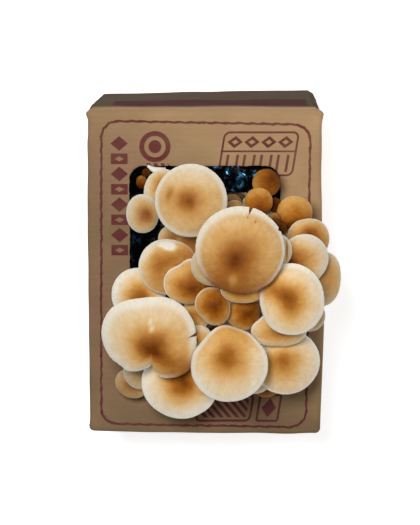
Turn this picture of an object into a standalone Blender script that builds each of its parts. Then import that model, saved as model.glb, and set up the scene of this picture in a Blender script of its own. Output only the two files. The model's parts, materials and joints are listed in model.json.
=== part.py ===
"""A mushroom grow kit: a carton lying on its back, with a window cut in its upper face.

Inside it a black film bag holds a block of substrate. Bunches of mushrooms grow up from the block,
through holes in the film and out of the window. Metres, +Z up. The origin is the middle of the
carton's back, which is the face that it lies on, and +Y points to the carton's top end.
"""

import math
from dataclasses import dataclass

import bmesh
import bpy
import numpy as np
from mathutils import Vector

# The carton, its window and what fills it.
CARTON_WIDTH = 0.146
CARTON_LENGTH = 0.204
CARTON_DEPTH = 0.120
BOARD = 0.002
CARTON_EDGE = 0.003
WINDOW_X = (-0.047, 0.047)
WINDOW_Y = (-0.066, 0.0675)
WINDOW_CORNER = 0.009
CORNER_POINTS = 5
GAP = 0.0003
FILM = 0.0006
BAG_SLACK = 0.0007
BAG_TOP = 0.1145
BAG_CORNER = 0.009
BLOCK_CORNER = 0.008
BAG_CUT_X = (-0.0285, 0.0425)
BAG_CUT_Y = (-0.0515, 0.0505)
BAG_CUT_CORNER = 0.0095

# A mushroom's cap, shared by all of them.
LIP = 0.0006
UNDERSIDE_RISE = 0.30
TOP_POWER = 2.2
TOP_FULLNESS = 0.75
LARGE_RADIUS = 0.0150
LARGE_RINGS_ABOVE = (0.38, 0.66, 0.88)
LARGE_RINGS_BELOW = (0.85,)
RINGS_ABOVE = (0.46, 0.82)
RINGS_BELOW = (0.85,)
YOUNG_RADIUS = 0.0075

# A stem: its thickness goes with its cap's radius.
STEM_BASE_RADIUS = 0.0009
STEM_SHARE = 0.125
STEM_FOOT_SWELL = 1.30
STEM_POINTS = 6
STEM_SHANK = 0.004
LARGE_STEM = 0.003
FOOT_RADIUS = 0.0078
FOOT_HEIGHT = 0.009
ROOT_SPREAD = 0.14
ROOT_REACH = 0.0042

# How the stems grow round each other and round the caps.
ROUTE_POINTS = 26
ROUTE_ROUNDS = 260
ROUTE_CLEARANCE = 0.0011
PUSH = 0.5
FREE_HEIGHT = 0.012


@dataclass
class Mushroom:
    """One mushroom. at and height place the centre of its cap's rim, height being above the carton's face."""

    name: str
    at: tuple
    height: float
    radius: float
    lean: tuple = (0.0, 0.0)  # the sideways part of the cap's axis, which has length 1
    umbo: tuple = (0.0, 0.0)  # how far the crown sits off the rim's centre
    crown: float = 0.45  # the crown's height as a share of the radius
    oval: tuple = (0.0, 0.0)  # stretch, and its direction in degrees
    bumps: tuple = ()  # (direction in degrees, share of the radius, half width in degrees)
    curl: float = 0.06  # how far the margin turns under, as a share of the crown's height
    sides: int = 0


MUSHROOMS = (
    Mushroom("cap_01", (0.0211, 0.0287), 0.091, 0.0262, (-0.04, -0.03), (-0.0020, -0.0037), 0.42),
    Mushroom("cap_02", (-0.0080, 0.0548), 0.066, 0.0218, (-0.08, 0.10), (-0.0010, 0.0), 0.42),
    Mushroom("cap_03", (-0.0339, -0.0271), 0.062, 0.0272, (-0.12, -0.04), (0.0035, -0.0085), 0.34,
             oval=(0.06, 0.0), bumps=((314, 0.22, 26), (102, -0.12, 36), (270, -0.36, 8)), sides=20),
    Mushroom("cap_04", (0.0149, -0.0446), 0.068, 0.0235, (0.02, -0.05), (-0.0015, 0.0065), 0.42,
             bumps=((97, 0.06, 25), (165, -0.03, 25))),
    Mushroom("cap_05", (0.0524, -0.0032), 0.076, 0.0207, (0.08, 0.0), (-0.0027, 0.0010), 0.44,
             oval=(0.06, 110)),
    Mushroom("cap_06", (0.0507, -0.0490), 0.042, 0.0205, (0.15, -0.12), (-0.0045, 0.0060), 0.44),
    Mushroom("cap_07", (-0.0152, -0.0627), 0.040, 0.0236, (-0.08, -0.20), (0.0034, 0.0055), 0.42),
    Mushroom("cap_08", (-0.0234, 0.0112), 0.046, 0.0170, (-0.15, 0.05), (-0.0023, 0.0027), 0.48,
             bumps=((28, 0.14, 28), (-35, -0.14, 30))),
    Mushroom("cap_09", (-0.0099, 0.0045), 0.057, 0.0143, (-0.10, -0.02), (0.0032, -0.0041), 0.50,
             bumps=((122, -0.22, 30), (205, 0.08, 30))),
    Mushroom("cap_10", (0.0040, 0.0157), 0.069, 0.0123, (-0.15, -0.10), (0.0005, 0.0012), 0.50,
             bumps=((0, -0.16, 35),)),
    Mushroom("cap_11", (0.0049, -0.0092), 0.066, 0.0108, (0.0, -0.05), (0.0012, 0.0008), 0.72,
             oval=(0.06, 120), curl=0.25),
    Mushroom("cap_12", (0.0240, -0.0149), 0.054, 0.0106, (0.02, -0.08), (0.0022, 0.0008), 0.72,
             oval=(0.08, 90), curl=0.25),
    Mushroom("cap_13", (0.0232, 0.0036), 0.073, 0.0117, (0.02, -0.20), (0.0, 0.0010), 0.50,
             oval=(0.17, 0.0)),
    Mushroom("cap_14", (-0.0407, -0.0088), 0.032, 0.0170, (-0.20, 0.02), (0.0044, 0.0004), 0.46),
    Mushroom("cap_15", (-0.0376, 0.0437), 0.044, 0.0109, (-0.10, 0.0), (0.0040, 0.0006), 0.55,
             oval=(0.09, 90)),
    Mushroom("cap_16", (-0.0254, 0.0569), 0.034, 0.0122, (-0.15, 0.12), (0.0030, 0.0030), 0.55,
             oval=(0.05, 70)),
    Mushroom("cap_17", (0.0381, 0.0596), 0.022, 0.0086, (0.06, 0.10), (0.0018, 0.0018), 0.85, curl=0.35),
    Mushroom("cap_18", (0.0331, 0.0495), 0.034, 0.0086, (0.02, 0.05), (0.0011, -0.0016), 0.85, curl=0.35),
    Mushroom("cap_19", (0.0553, 0.0429), 0.034, 0.0110, (0.18, 0.06), (0.0, -0.0012), 0.70, curl=0.30),
    Mushroom("cap_20", (0.0631, 0.0283), 0.045, 0.0134, (0.22, 0.05), (-0.0007, 0.0035), 0.55),
    Mushroom("cap_21", (0.0602, 0.0178), 0.056, 0.0151, (0.18, 0.02), (-0.0050, 0.0006), 0.50),
    Mushroom("cap_22", (0.0722, 0.0023), 0.038, 0.0150, (0.45, -0.02), (0.0, 0.0030), 0.50,
             oval=(0.14, 90)),
    Mushroom("cap_23", (0.0651, -0.0201), 0.044, 0.0092, (0.25, -0.10), (-0.0009, 0.0020), 0.55),
    Mushroom("cap_24", (0.0420, 0.0246), 0.068, 0.0107, (0.15, 0.05), (-0.0010, 0.0006), 0.50),
    Mushroom("cap_25", (0.0453, -0.0251), 0.059, 0.0139, (0.05, -0.22), (-0.0005, 0.0020), 0.45,
             oval=(0.22, 0.0)),
    Mushroom("cap_26", (-0.0052, -0.0189), 0.044, 0.0092, (-0.02, -0.05), (0.0, 0.0020), 0.55),
    Mushroom("cap_27", (-0.0033, -0.0322), 0.049, 0.0079, (-0.05, -0.05), (0.0, 0.0010), 0.55),
    Mushroom("cap_28", (-0.0076, 0.0232), 0.040, 0.0098, (-0.10, 0.10), (0.0006, 0.0003), 0.55),
    Mushroom("cap_29", (-0.0200, 0.0260), 0.030, 0.0086, (-0.15, 0.15), (0.0008, 0.0), 0.55),
    Mushroom("cap_30", (-0.0455, -0.0678), 0.016, 0.0105, (-0.25, -0.20), (0.0008, 0.0009), 0.50,
             oval=(0.05, 0.0)),
    Mushroom("cap_31", (-0.0395, -0.0585), 0.028, 0.0112, (-0.15, -0.20), (0.0010, 0.0025), 0.50),
    Mushroom("cap_32", (0.0319, -0.0634), 0.026, 0.0093, (0.05, -0.20), (-0.0004, 0.0020), 0.55),
    Mushroom("cap_33", (0.0391, -0.0704), 0.014, 0.0078, (0.08, -0.25), (-0.0005, 0.0018), 0.55,
             oval=(0.08, 0.0)),
    Mushroom("cap_34", (-0.0393, 0.0582), 0.007, 0.0037, (-0.15, 0.10), crown=0.90, oval=(0.1, 90), curl=0.4),
    Mushroom("cap_35", (-0.0365, 0.0638), 0.004, 0.0026, (-0.10, 0.20), crown=0.90, curl=0.4),
    Mushroom("cap_36", (0.0431, 0.0459), 0.022, 0.0046, (0.10, 0.05), crown=0.80, curl=0.35),
    Mushroom("cap_37", (0.0172, 0.0463), 0.016, 0.0056, (0.0, 0.15), crown=0.70, curl=0.30),
    Mushroom("cap_38", (0.0184, 0.0434), 0.026, 0.0061, (0.0, 0.10), crown=0.70, curl=0.30),
    Mushroom("cap_39", (0.0423, 0.0397), 0.041, 0.0040, (0.05, 0.05), crown=0.80, curl=0.35),
    Mushroom("cap_40", (0.0440, 0.0346), 0.046, 0.0061, (0.05, 0.05), crown=0.70, curl=0.30),
)

# Each bunch of stems: where its foot stands on the block, and the caps that it carries.
BUNCHES = (
    ("stem_bunch_01", (0.012, 0.026), ("cap_01", "cap_37", "cap_38")),
    ("stem_bunch_02", (-0.019, 0.041), ("cap_02", "cap_15", "cap_16", "cap_29", "cap_34", "cap_35")),
    ("stem_bunch_03", (-0.014, -0.019), ("cap_03", "cap_26", "cap_27")),
    ("stem_bunch_04", (0.018, -0.034), ("cap_04", "cap_06", "cap_32", "cap_33")),
    ("stem_bunch_05", (0.030, -0.008), ("cap_05", "cap_23", "cap_25")),
    ("stem_bunch_06", (-0.013, -0.042), ("cap_07", "cap_30", "cap_31")),
    ("stem_bunch_07", (-0.017, 0.012), ("cap_08", "cap_09", "cap_14", "cap_28")),
    ("stem_bunch_08", (0.009, 0.001), ("cap_10", "cap_11", "cap_12", "cap_13")),
    ("stem_bunch_09", (0.031, 0.040), ("cap_17", "cap_18", "cap_19", "cap_36", "cap_39", "cap_40")),
    ("stem_bunch_10", (0.033, 0.017), ("cap_20", "cap_21", "cap_22", "cap_24")),
)


def clear_scene():
    for obj in list(bpy.data.objects):
        bpy.data.objects.remove(obj, do_unlink=True)


def new_collection(name):
    collection = bpy.data.collections.new(name)
    bpy.context.scene.collection.children.link(collection)
    return collection


def new_material(name, color, roughness):
    material = bpy.data.materials.new(name)
    material.use_nodes = True
    shader = material.node_tree.nodes["Principled BSDF"]
    shader.inputs["Base Color"].default_value = (*color, 1.0)
    shader.inputs["Roughness"].default_value = roughness
    shader.inputs["Metallic"].default_value = 0.0
    return material


def add_mesh_object(name, bm, collection, material=None):
    mesh = bpy.data.meshes.new(name)
    bm.to_mesh(mesh)
    bm.free()
    obj = bpy.data.objects.new(name, mesh)
    collection.objects.link(obj)
    if material:
        mesh.materials.append(material)
    return obj


def shade_smooth(obj, angle=40.0):
    obj.data.shade_smooth()
    obj.data.set_sharp_from_angle(angle=math.radians(angle))


def as_helper(obj):
    obj.hide_render = True
    obj.display_type = "WIRE"
    return obj


def add_bevel(obj, width, segments):
    bevel = obj.modifiers.new("Rounded edges", "BEVEL")
    bevel.width = width
    bevel.segments = segments
    bevel.limit_method = "ANGLE"


def add_boolean(obj, other, operation):
    boolean = obj.modifiers.new(other.name, "BOOLEAN")
    boolean.operation = operation
    boolean.solver = "EXACT"
    boolean.object = other


def box(name, low, high, collection, material=None):
    """A cube primitive sized and placed so that its corners are low and high."""
    bm = bmesh.new()
    bmesh.ops.create_cube(bm, size=1.0)
    low, high = Vector(low), Vector(high)
    bmesh.ops.scale(bm, vec=high - low, verts=bm.verts)
    bmesh.ops.translate(bm, vec=(low + high) / 2, verts=bm.verts)
    return add_mesh_object(name, bm, collection, material)


def mesh_from_curve(curve_object, collection):
    """The curve as a mesh object with its loose caps welded. The curve object is removed."""
    graph = bpy.context.evaluated_depsgraph_get()
    mesh = bpy.data.meshes.new_from_object(curve_object.evaluated_get(graph))
    bm = bmesh.new()
    bm.from_mesh(mesh)
    bmesh.ops.remove_doubles(bm, verts=bm.verts, dist=1e-6)
    bmesh.ops.recalc_face_normals(bm, faces=bm.faces)
    bm.to_mesh(mesh)
    bm.free()
    name = curve_object.name
    matrix = curve_object.matrix_world.copy()
    bpy.data.objects.remove(curve_object, do_unlink=True)
    obj = bpy.data.objects.new(name, mesh)
    obj.matrix_world = matrix
    collection.objects.link(obj)
    return obj


def round_corner_cutter(name, x_range, y_range, corner, level, half_depth, collection):
    """A rectangle with round corners, from a flat curve, as a block that reaches above and below level."""
    outline = []
    for quarter in range(4):
        x = x_range[1] - corner if quarter in (0, 3) else x_range[0] + corner
        y = y_range[1] - corner if quarter in (0, 1) else y_range[0] + corner
        for step in range(CORNER_POINTS):
            angle = math.radians(90 * (quarter + step / (CORNER_POINTS - 1)))
            outline.append((x + corner * math.cos(angle), y + corner * math.sin(angle)))
    curve = bpy.data.curves.new(name, "CURVE")
    curve.dimensions = "2D"
    curve.fill_mode = "BOTH"
    curve.extrude = half_depth
    spline = curve.splines.new("POLY")
    spline.points.add(len(outline) - 1)
    for point, (x, y) in zip(spline.points, outline):
        point.co = (x, y, 0.0, 1.0)
    spline.use_cyclic_u = True
    obj = bpy.data.objects.new(name, curve)
    obj.location = (0.0, 0.0, level)
    collection.objects.link(obj)
    bpy.context.view_layer.update()
    return as_helper(mesh_from_curve(obj, collection))


def add_shell(obj, thickness):
    shell = obj.modifiers.new("Wall", "SOLIDIFY")
    shell.thickness = thickness
    shell.offset = -1.0
    shell.use_even_offset = True


def make_carton(parts, cutters, material):
    """The folded board carton: a hollow box with soft edges, open only at the window."""
    carton = box(
        "carton",
        (-CARTON_WIDTH / 2, -CARTON_LENGTH / 2, 0.0),
        (CARTON_WIDTH / 2, CARTON_LENGTH / 2, CARTON_DEPTH),
        parts,
        material,
    )
    add_bevel(carton, CARTON_EDGE, 2)
    add_shell(carton, BOARD)
    window = round_corner_cutter(
        "window_cutter", WINDOW_X, WINDOW_Y, WINDOW_CORNER, CARTON_DEPTH, 4 * BOARD, cutters
    )
    add_boolean(carton, window, "DIFFERENCE")
    return carton


def make_bag(parts, cutters, material):
    """The film bag: a thin skin that fills the carton, torn open where the bunches come through."""
    inset = BOARD + BAG_SLACK
    bag = box(
        "grow_bag",
        (-CARTON_WIDTH / 2 + inset, -CARTON_LENGTH / 2 + inset, BOARD + GAP),
        (CARTON_WIDTH / 2 - inset, CARTON_LENGTH / 2 - inset, BAG_TOP),
        parts,
        material,
    )
    add_bevel(bag, BAG_CORNER, 2)
    add_shell(bag, FILM)
    cut = round_corner_cutter(
        "bag_cut_cutter", BAG_CUT_X, BAG_CUT_Y, BAG_CUT_CORNER, BAG_TOP, 4 * FILM, cutters
    )
    add_boolean(bag, cut, "DIFFERENCE")
    return bag


def block_top():
    return BAG_TOP - FILM - GAP


def make_block(parts, material):
    """The substrate block, just inside the film."""
    inset = BOARD + BAG_SLACK + FILM + GAP
    block = box(
        "substrate_block",
        (-CARTON_WIDTH / 2 + inset, -CARTON_LENGTH / 2 + inset, BOARD + 2 * GAP + FILM),
        (CARTON_WIDTH / 2 - inset, CARTON_LENGTH / 2 - inset, block_top()),
        parts,
        material,
    )
    add_bevel(block, BLOCK_CORNER, 2)
    return block


class Cap:
    """A mushroom's cap worked out in its own frame: axis up, east and north along its rim."""

    def __init__(self, mushroom):
        self.spec = mushroom
        lean_x, lean_y = mushroom.lean
        self.axis = np.array([lean_x, lean_y, math.sqrt(1 - lean_x**2 - lean_y**2)])
        east = np.array([1.0, 0.0, 0.0]) - self.axis * self.axis[0]
        self.east = east / np.linalg.norm(east)
        self.north = np.cross(self.axis, self.east)
        self.centre = np.array([*mushroom.at, CARTON_DEPTH + mushroom.height])
        self.crown = mushroom.crown * mushroom.radius
        self.lip = LIP + mushroom.curl * self.crown
        self.stem_radius = STEM_BASE_RADIUS + STEM_SHARE * mushroom.radius
        self.seat = UNDERSIDE_RISE * self.crown - self.lip

    def outline(self, angle):
        """The rim's distance from its centre: a circle, stretched to an oval, with smooth bumps and dents."""
        stretch, direction = self.spec.oval
        share = 1 + stretch * np.cos(2 * (angle - math.radians(direction)))
        for toward, size, width in self.spec.bumps:
            off = (angle - math.radians(toward) + math.pi) % (2 * math.pi) - math.pi
            share = share + size * np.exp(-((off / math.radians(width)) ** 2))
        return self.spec.radius * share

    def top(self, share):
        """Height of the upper surface at this share of the way from the umbo to the rim."""
        return self.crown * (1 - share**TOP_POWER) ** TOP_FULLNESS

    def to_world(self, x, y, z):
        return self.centre + np.outer(x, self.east) + np.outer(y, self.north) + np.outer(z, self.axis)

    def stem_end(self):
        """Where the stem stops, a small gap under the flat seat below the umbo."""
        return self.to_world(*self.spec.umbo, self.seat - GAP)[0]

    def rings(self):
        """(share of the way to the rim, height) for each ring from the top pole down to the bottom one."""
        large = self.spec.radius > LARGE_RADIUS
        above = LARGE_RINGS_ABOVE if large else RINGS_ABOVE
        below = LARGE_RINGS_BELOW if large else RINGS_BELOW
        rim = [(1.0, 0.0)]
        seat_share = (self.stem_radius + 3 * GAP) / (self.spec.radius - math.hypot(*self.spec.umbo))
        lower = []
        for share in below:
            rise = (1 - share**2) / (1 - seat_share**2)
            lower.append((share, (self.seat + self.lip) * rise - self.lip))
        return [(share, self.top(share)) for share in above] + rim + lower + [(seat_share, self.seat)]

    def sides(self):
        if self.spec.sides:
            return self.spec.sides
        if self.spec.radius < YOUNG_RADIUS:
            return 8
        return 16 if self.spec.radius > LARGE_RADIUS else 12

    def mesh(self):
        """A sphere primitive whose rings are moved to the cap's rings."""
        rings = self.rings()
        bands = len(rings) + 1
        bm = bmesh.new()
        bmesh.ops.create_uvsphere(bm, u_segments=self.sides(), v_segments=bands, radius=1.0)
        for vertex in bm.verts:
            x, y, z = vertex.co
            index = round(math.acos(max(-1.0, min(1.0, z))) / math.pi * bands)
            if index == 0:
                share, height = 0.0, self.crown
            elif index == bands:
                share, height = 0.0, self.seat
            else:
                share, height = rings[index - 1]
            angle = math.atan2(y, x)
            uneven = float(self.outline(angle)) - self.spec.radius
            reach = (self.spec.radius + uneven * share) * share
            across = self.spec.umbo[0] * (1 - share) + reach * math.cos(angle)
            along = self.spec.umbo[1] * (1 - share) + reach * math.sin(angle)
            vertex.co = self.to_world(across, along, height)[0]
        return bm


def start_routes(caps, roots):
    """Each stem's first curve: a cubic that leaves its root upwards and meets its cap along the cap's axis."""
    routes = []
    share = np.linspace(0.0, 1.0, ROUTE_POINTS)[:, None]
    for cap, root in zip(caps, roots):
        end = cap.stem_end()
        length = np.linalg.norm(end - root)
        middle = (end - root) / length
        leave = root + (0.6 * middle + np.array([0.0, 0.0, 0.4])) * length * 0.33
        arrive = end - cap.axis * length * 0.33
        routes.append(
            (1 - share) ** 3 * root
            + 3 * (1 - share) ** 2 * share * leave
            + 3 * (1 - share) * share**2 * arrive
            + share**3 * end
        )
    return np.array(routes)


def push_from_stems(points, radii, bunch_of, free_from):
    """Moves that part stems which come closer than their radii and the clearance."""
    count, steps, _ = points.shape
    flat = points.reshape(-1, 3)
    owner = np.repeat(np.arange(count), steps)
    radius = np.repeat(radii, steps)
    offset = flat[:, None, :] - flat[None, :, :]
    distance = np.linalg.norm(offset, axis=2) + 1e-9
    wanted = radius[:, None] + radius[None, :] + ROUTE_CLEARANCE
    low = flat[:, 2] < free_from
    fused = (bunch_of[owner][:, None] == bunch_of[owner][None, :]) & (low[:, None] | low[None, :])
    apart = (owner[:, None] != owner[None, :]) & ~fused
    overlap = np.where(apart, np.maximum(wanted - distance, 0.0), 0.0)
    worst = overlap.max(axis=1, keepdims=True) + 1e-9
    weight = (overlap / worst) * overlap
    return (offset / distance[..., None] * weight[..., None]).sum(axis=1).reshape(points.shape) * PUSH / 2


def push_from_caps(points, radii, caps, own):
    """Moves that carry stem points sideways out of every cap but their own."""
    moves = np.zeros_like(points)
    for index, cap in enumerate(caps):
        local = points - cap.centre
        x, y, z = local @ cap.east, local @ cap.north, local @ cap.axis
        reach = np.hypot(x, y) + 1e-9
        edge = cap.outline(np.arctan2(y, x))
        margin = radii[:, None] + ROUTE_CLEARANCE
        level = (z > -cap.lip - margin) & (z < cap.top(np.clip(reach / edge, 0, 1)) + margin)
        depth = np.where(level & (own[:, None] != index), np.maximum(edge + margin - reach, 0.0), 0.0)
        outward = (x / reach)[..., None] * cap.east + (y / reach)[..., None] * cap.north
        moves += outward * depth[..., None] * PUSH
    return moves


def grow_stems(caps, roots, bunch_of):
    """Every stem's route from root to cap, relaxed until stems and caps stand clear of each other."""
    routes = start_routes(caps, roots)
    radii = np.array([cap.stem_radius for cap in caps])
    own = np.arange(len(caps))
    share = np.linspace(0.0, 1.0, ROUTE_POINTS)
    hold = (np.clip(share / 0.12, 0, 1) * np.clip((1 - share) / 0.10, 0, 1))[None, :, None]
    moved = np.zeros_like(routes)
    for _ in range(ROUTE_ROUNDS):
        points = routes + moved
        push = push_from_stems(points, radii, bunch_of, CARTON_DEPTH + FREE_HEIGHT - STEM_SHANK)
        push += push_from_caps(points, radii, caps, own)
        moved += push * hold
        moved[:, 1:-1] += 0.25 * (0.5 * (moved[:, :-2] + moved[:, 2:]) - moved[:, 1:-1])
        moved *= np.minimum(1.0, hold * 4)
    return routes + moved


def stem_tube(name, route, cap, collection):
    """One stem as a tapered tube: thicker at the foot, straight just under the cap."""
    share = np.linspace(0.0, 1.0, len(route))
    wanted = np.linspace(0.0, 1.0, STEM_POINTS - 1)[:-1] * 0.94
    points = [tuple(np.interp(w, share, route[:, axis]) for axis in range(3)) for w in wanted]
    end = cap.stem_end()
    points.append(tuple(end - cap.axis * STEM_SHANK * 0.5))
    points.append(tuple(end))
    curve = bpy.data.curves.new(name, "CURVE")
    curve.dimensions = "3D"
    curve.bevel_depth = 1.0
    curve.bevel_resolution = 2 if cap.stem_radius > LARGE_STEM else 1
    curve.use_fill_caps = True
    spline = curve.splines.new("POLY")
    spline.points.add(len(points) - 1)
    for index, (point, place) in enumerate(zip(spline.points, points)):
        up = index / (len(points) - 1)
        point.co = (*place, 1.0)
        point.radius = cap.stem_radius * (1 + (STEM_FOOT_SWELL - 1) * (1 - up) ** 2)
    obj = bpy.data.objects.new(name, curve)
    collection.objects.link(obj)
    bpy.context.view_layer.update()
    return as_helper(mesh_from_curve(obj, collection))


def stem_foot(name, place, parts, material):
    """The lump in which a bunch's stems join: a sphere with its lower half pressed flat on the block."""
    bm = bmesh.new()
    bmesh.ops.create_uvsphere(bm, u_segments=10, v_segments=4, radius=1.0)
    for vertex in bm.verts:
        x, y, z = vertex.co
        vertex.co = (
            place[0] + x * FOOT_RADIUS,
            place[1] + y * FOOT_RADIUS,
            block_top() + GAP + max(z, 0.0) * FOOT_HEIGHT,
        )
    bmesh.ops.remove_doubles(bm, verts=bm.verts, dist=1e-6)
    bmesh.ops.dissolve_degenerate(bm, edges=bm.edges, dist=1e-6)
    return add_mesh_object(name, bm, parts, material)


def root_of(cap, place, centre):
    """A stem's root: near the bunch's foot, on the side that its cap lies."""
    away = (cap.stem_end()[:2] - centre) * ROOT_SPREAD
    length = np.linalg.norm(away)
    if length > ROOT_REACH:
        away *= ROOT_REACH / length
    return np.array([place[0] + away[0], place[1] + away[1], block_top() + GAP + FOOT_HEIGHT * 0.3])


def make_mushrooms(parts, cutters, cap_material, stem_material):
    caps = {m.name: Cap(m) for m in MUSHROOMS}
    for name, cap in caps.items():
        shade_smooth(add_mesh_object(name, cap.mesh(), parts, cap_material), 60.0)
    order, roots, bunch_of = [], [], []
    for number, (_, place, members) in enumerate(BUNCHES):
        centre = np.mean([caps[m].stem_end()[:2] for m in members], axis=0)
        for member in members:
            order.append(member)
            roots.append(root_of(caps[member], place, centre))
            bunch_of.append(number)
    routes = grow_stems([caps[m] for m in order], roots, np.array(bunch_of))
    route_of = dict(zip(order, routes))
    for name, place, members in BUNCHES:
        foot = stem_foot(name, place, parts, stem_material)
        for member in members:
            tube = stem_tube("stem_of_" + member, route_of[member], caps[member], cutters)
            add_boolean(foot, tube, "UNION")


def main():
    clear_scene()
    parts = new_collection("mushroom_grow_kit")
    cutters = new_collection("cutters")
    make_carton(parts, cutters, new_material("kraft board", (0.52, 0.39, 0.26), 0.85))
    make_bag(parts, cutters, new_material("black film", (0.02, 0.02, 0.025), 0.25))
    make_block(parts, new_material("substrate", (0.42, 0.33, 0.23), 0.95))
    make_mushrooms(
        parts,
        cutters,
        new_material("cap skin", (0.72, 0.47, 0.23), 0.55),
        new_material("stem flesh", (0.86, 0.80, 0.68), 0.70),
    )


main()
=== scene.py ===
"""A mushroom grow kit: a kraft carton lying on its back, and the mushrooms that grow out of its window.

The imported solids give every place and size. Each piece made here is a surface worked out with numpy
that takes the place of its solid. Metres, +Z up out of the window, +Y towards the carton's top end.
"""

import json
import math
from dataclasses import dataclass

import bmesh
import bpy
import numpy as np
from bpy.props import FloatProperty, FloatVectorProperty, IntProperty, PointerProperty
from mathutils import Matrix, Quaternion, Vector
from mathutils.bvhtree import BVHTree

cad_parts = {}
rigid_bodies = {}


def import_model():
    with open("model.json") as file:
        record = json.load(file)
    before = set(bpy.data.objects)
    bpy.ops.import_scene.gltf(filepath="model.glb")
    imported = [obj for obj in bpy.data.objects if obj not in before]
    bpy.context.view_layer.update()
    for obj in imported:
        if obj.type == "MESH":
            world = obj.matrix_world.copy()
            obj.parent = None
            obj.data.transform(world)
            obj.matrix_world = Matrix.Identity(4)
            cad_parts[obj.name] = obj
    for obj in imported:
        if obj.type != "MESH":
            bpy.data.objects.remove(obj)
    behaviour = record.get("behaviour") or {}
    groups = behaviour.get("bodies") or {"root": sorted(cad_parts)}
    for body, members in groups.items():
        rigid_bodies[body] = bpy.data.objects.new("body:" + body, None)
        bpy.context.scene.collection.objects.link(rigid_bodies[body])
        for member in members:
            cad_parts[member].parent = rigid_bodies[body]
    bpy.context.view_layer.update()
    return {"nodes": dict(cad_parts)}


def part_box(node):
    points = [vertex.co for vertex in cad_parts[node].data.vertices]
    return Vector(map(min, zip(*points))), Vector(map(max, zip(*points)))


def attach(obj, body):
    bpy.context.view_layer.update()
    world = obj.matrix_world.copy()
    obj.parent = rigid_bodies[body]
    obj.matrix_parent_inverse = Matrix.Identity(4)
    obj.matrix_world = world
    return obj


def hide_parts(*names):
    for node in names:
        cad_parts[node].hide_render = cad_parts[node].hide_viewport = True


bl_info = {
    "name": "Mushroom grow kit",
    "version": (1, 0, 0),
    "blender": (4, 5, 0),
    "location": "3D View > Sidebar > Grow kit",
    "description": "Dresses a grow kit: its carton, film, block, stems and caps",
    "category": "Add Mesh",
}

# The empty scene, the frame and its sizes
for leftover in list(bpy.data.objects):
    bpy.data.objects.remove(leftover, do_unlink=True)
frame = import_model()
MM = 0.001
FULL_TURN = 2 * np.pi
LIT_POINT = (0.0, 0.0, 0.14)
FLOOR_REACH = 20.0
SAME_LEVEL = 0.02 * MM
HOLE_SHARE = 0.84
FLUTE = 3.6 * MM
CUT_FLUTE = 5.2 * MM


def srgb(red, green, blue):
    """A colour as painted, 0 to 255, in the linear values that shaders use."""
    shares = (red / 255, green / 255, blue / 255)
    return tuple(((v + 0.055) / 1.055) ** 2.4 if v > 0.04045 else v / 12.92 for v in shares)


def length_setting(name, description, value):
    """A setting in metres."""
    return FloatProperty(name=name, description=description, default=value, unit="LENGTH")


def power_setting(name, description, value):
    """A setting in watts."""
    return FloatProperty(name=name, description=description, default=value, unit="POWER")


def colour_setting(name, description, *value):
    """A colour that a user can change, given as painted, 0 to 255."""
    return FloatVectorProperty(name=name, description=description, default=srgb(*value), subtype="COLOR")


def place_setting(name, description, *value):
    """A place that a user can change."""
    return FloatVectorProperty(name=name, description=description, default=value, subtype="TRANSLATION")


def corners(node):
    """A node's lowest and highest corners as numpy arrays."""
    low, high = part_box(node)
    return np.array(low), np.array(high)


def node_points(node):
    """The corners of a node's triangles."""
    mesh = frame["nodes"][node].data
    points = np.empty(len(mesh.vertices) * 3)
    mesh.vertices.foreach_get("co", points)
    return points.reshape(-1, 3)


def hole_in(node):
    """The low and high corners of the opening in a node's top face.

    They come from the corners on that face that lie inside a share of the node's half widths.
    """
    high = corners(node)[1]
    points = node_points(node)
    on_top = np.abs(points[:, 2] - high[2]) < SAME_LEVEL
    inside = (np.abs(points[:, :2]) < HOLE_SHARE * high[:2]).all(axis=1)
    rim = points[on_top & inside, :2]
    return rim.min(axis=0), rim.max(axis=0)


CARTON_LOW, CARTON_HIGH = corners("carton")
WINDOW_LOW, WINDOW_HIGH = hole_in("carton")
BAG_LOW, BAG_HIGH = corners("grow_bag")
TEAR_LOW, TEAR_HIGH = hole_in("grow_bag")
BLOCK_LOW, BLOCK_HIGH = corners("substrate_block")
FACE = float(CARTON_HIGH[2])
CAP_NODES = sorted(name for name in frame["nodes"] if name.startswith("cap_"))
STEM_NODES = sorted(name for name in frame["nodes"] if name.startswith("stem_bunch_"))


# Settings
class CartonSettings(bpy.types.PropertyGroup):
    board: length_setting("Board", "Thickness of the board", 2 * MM)
    fold: length_setting("Fold", "Radius of the folds", 3 * MM)
    crush: length_setting("Crush", "How much rounder the right-hand fold is where it is crushed", 3.5 * MM)
    bulge: length_setting("Bulge", "How far the right wall bulges", 3.6 * MM)
    window_corner: length_setting("Window corner", "Radius of the window's corners", 9 * MM)
    ragged: length_setting("Ragged", "Unevenness of the window's cut edge", 0.45 * MM)
    kraft: colour_setting("Kraft", "Colour of the board", 172, 140, 104)
    # The colour of damp places, also used for painted shade towards the left, the foot and the end walls.
    damp_and_shade_colour: colour_setting("Stain", "Colour of its damp and worn places", 126, 104, 78)
    blush: colour_setting("Blush", "Colour of its redder clouds", 158, 122, 98)
    ink: colour_setting("Ink", "Colour of the print", 92, 36, 44)


class FilmSettings(bpy.types.PropertyGroup):
    thickness: length_setting("Film", "Thickness of the film", 0.15 * MM)
    crumple: length_setting("Crumple", "Height of the creases in the window", 2.6 * MM)
    film: colour_setting("Film colour", "Colour of the film", 4, 4, 5)


class BlockSettings(bpy.types.PropertyGroup):
    lumps: length_setting("Lumps", "Height of the block's lumps", 0.5 * MM)
    sawdust: colour_setting("Sawdust", "Colour of the sawdust", 92, 66, 42)
    mycelium: colour_setting("Mycelium", "Colour of the mycelium", 242, 238, 228)


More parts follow.
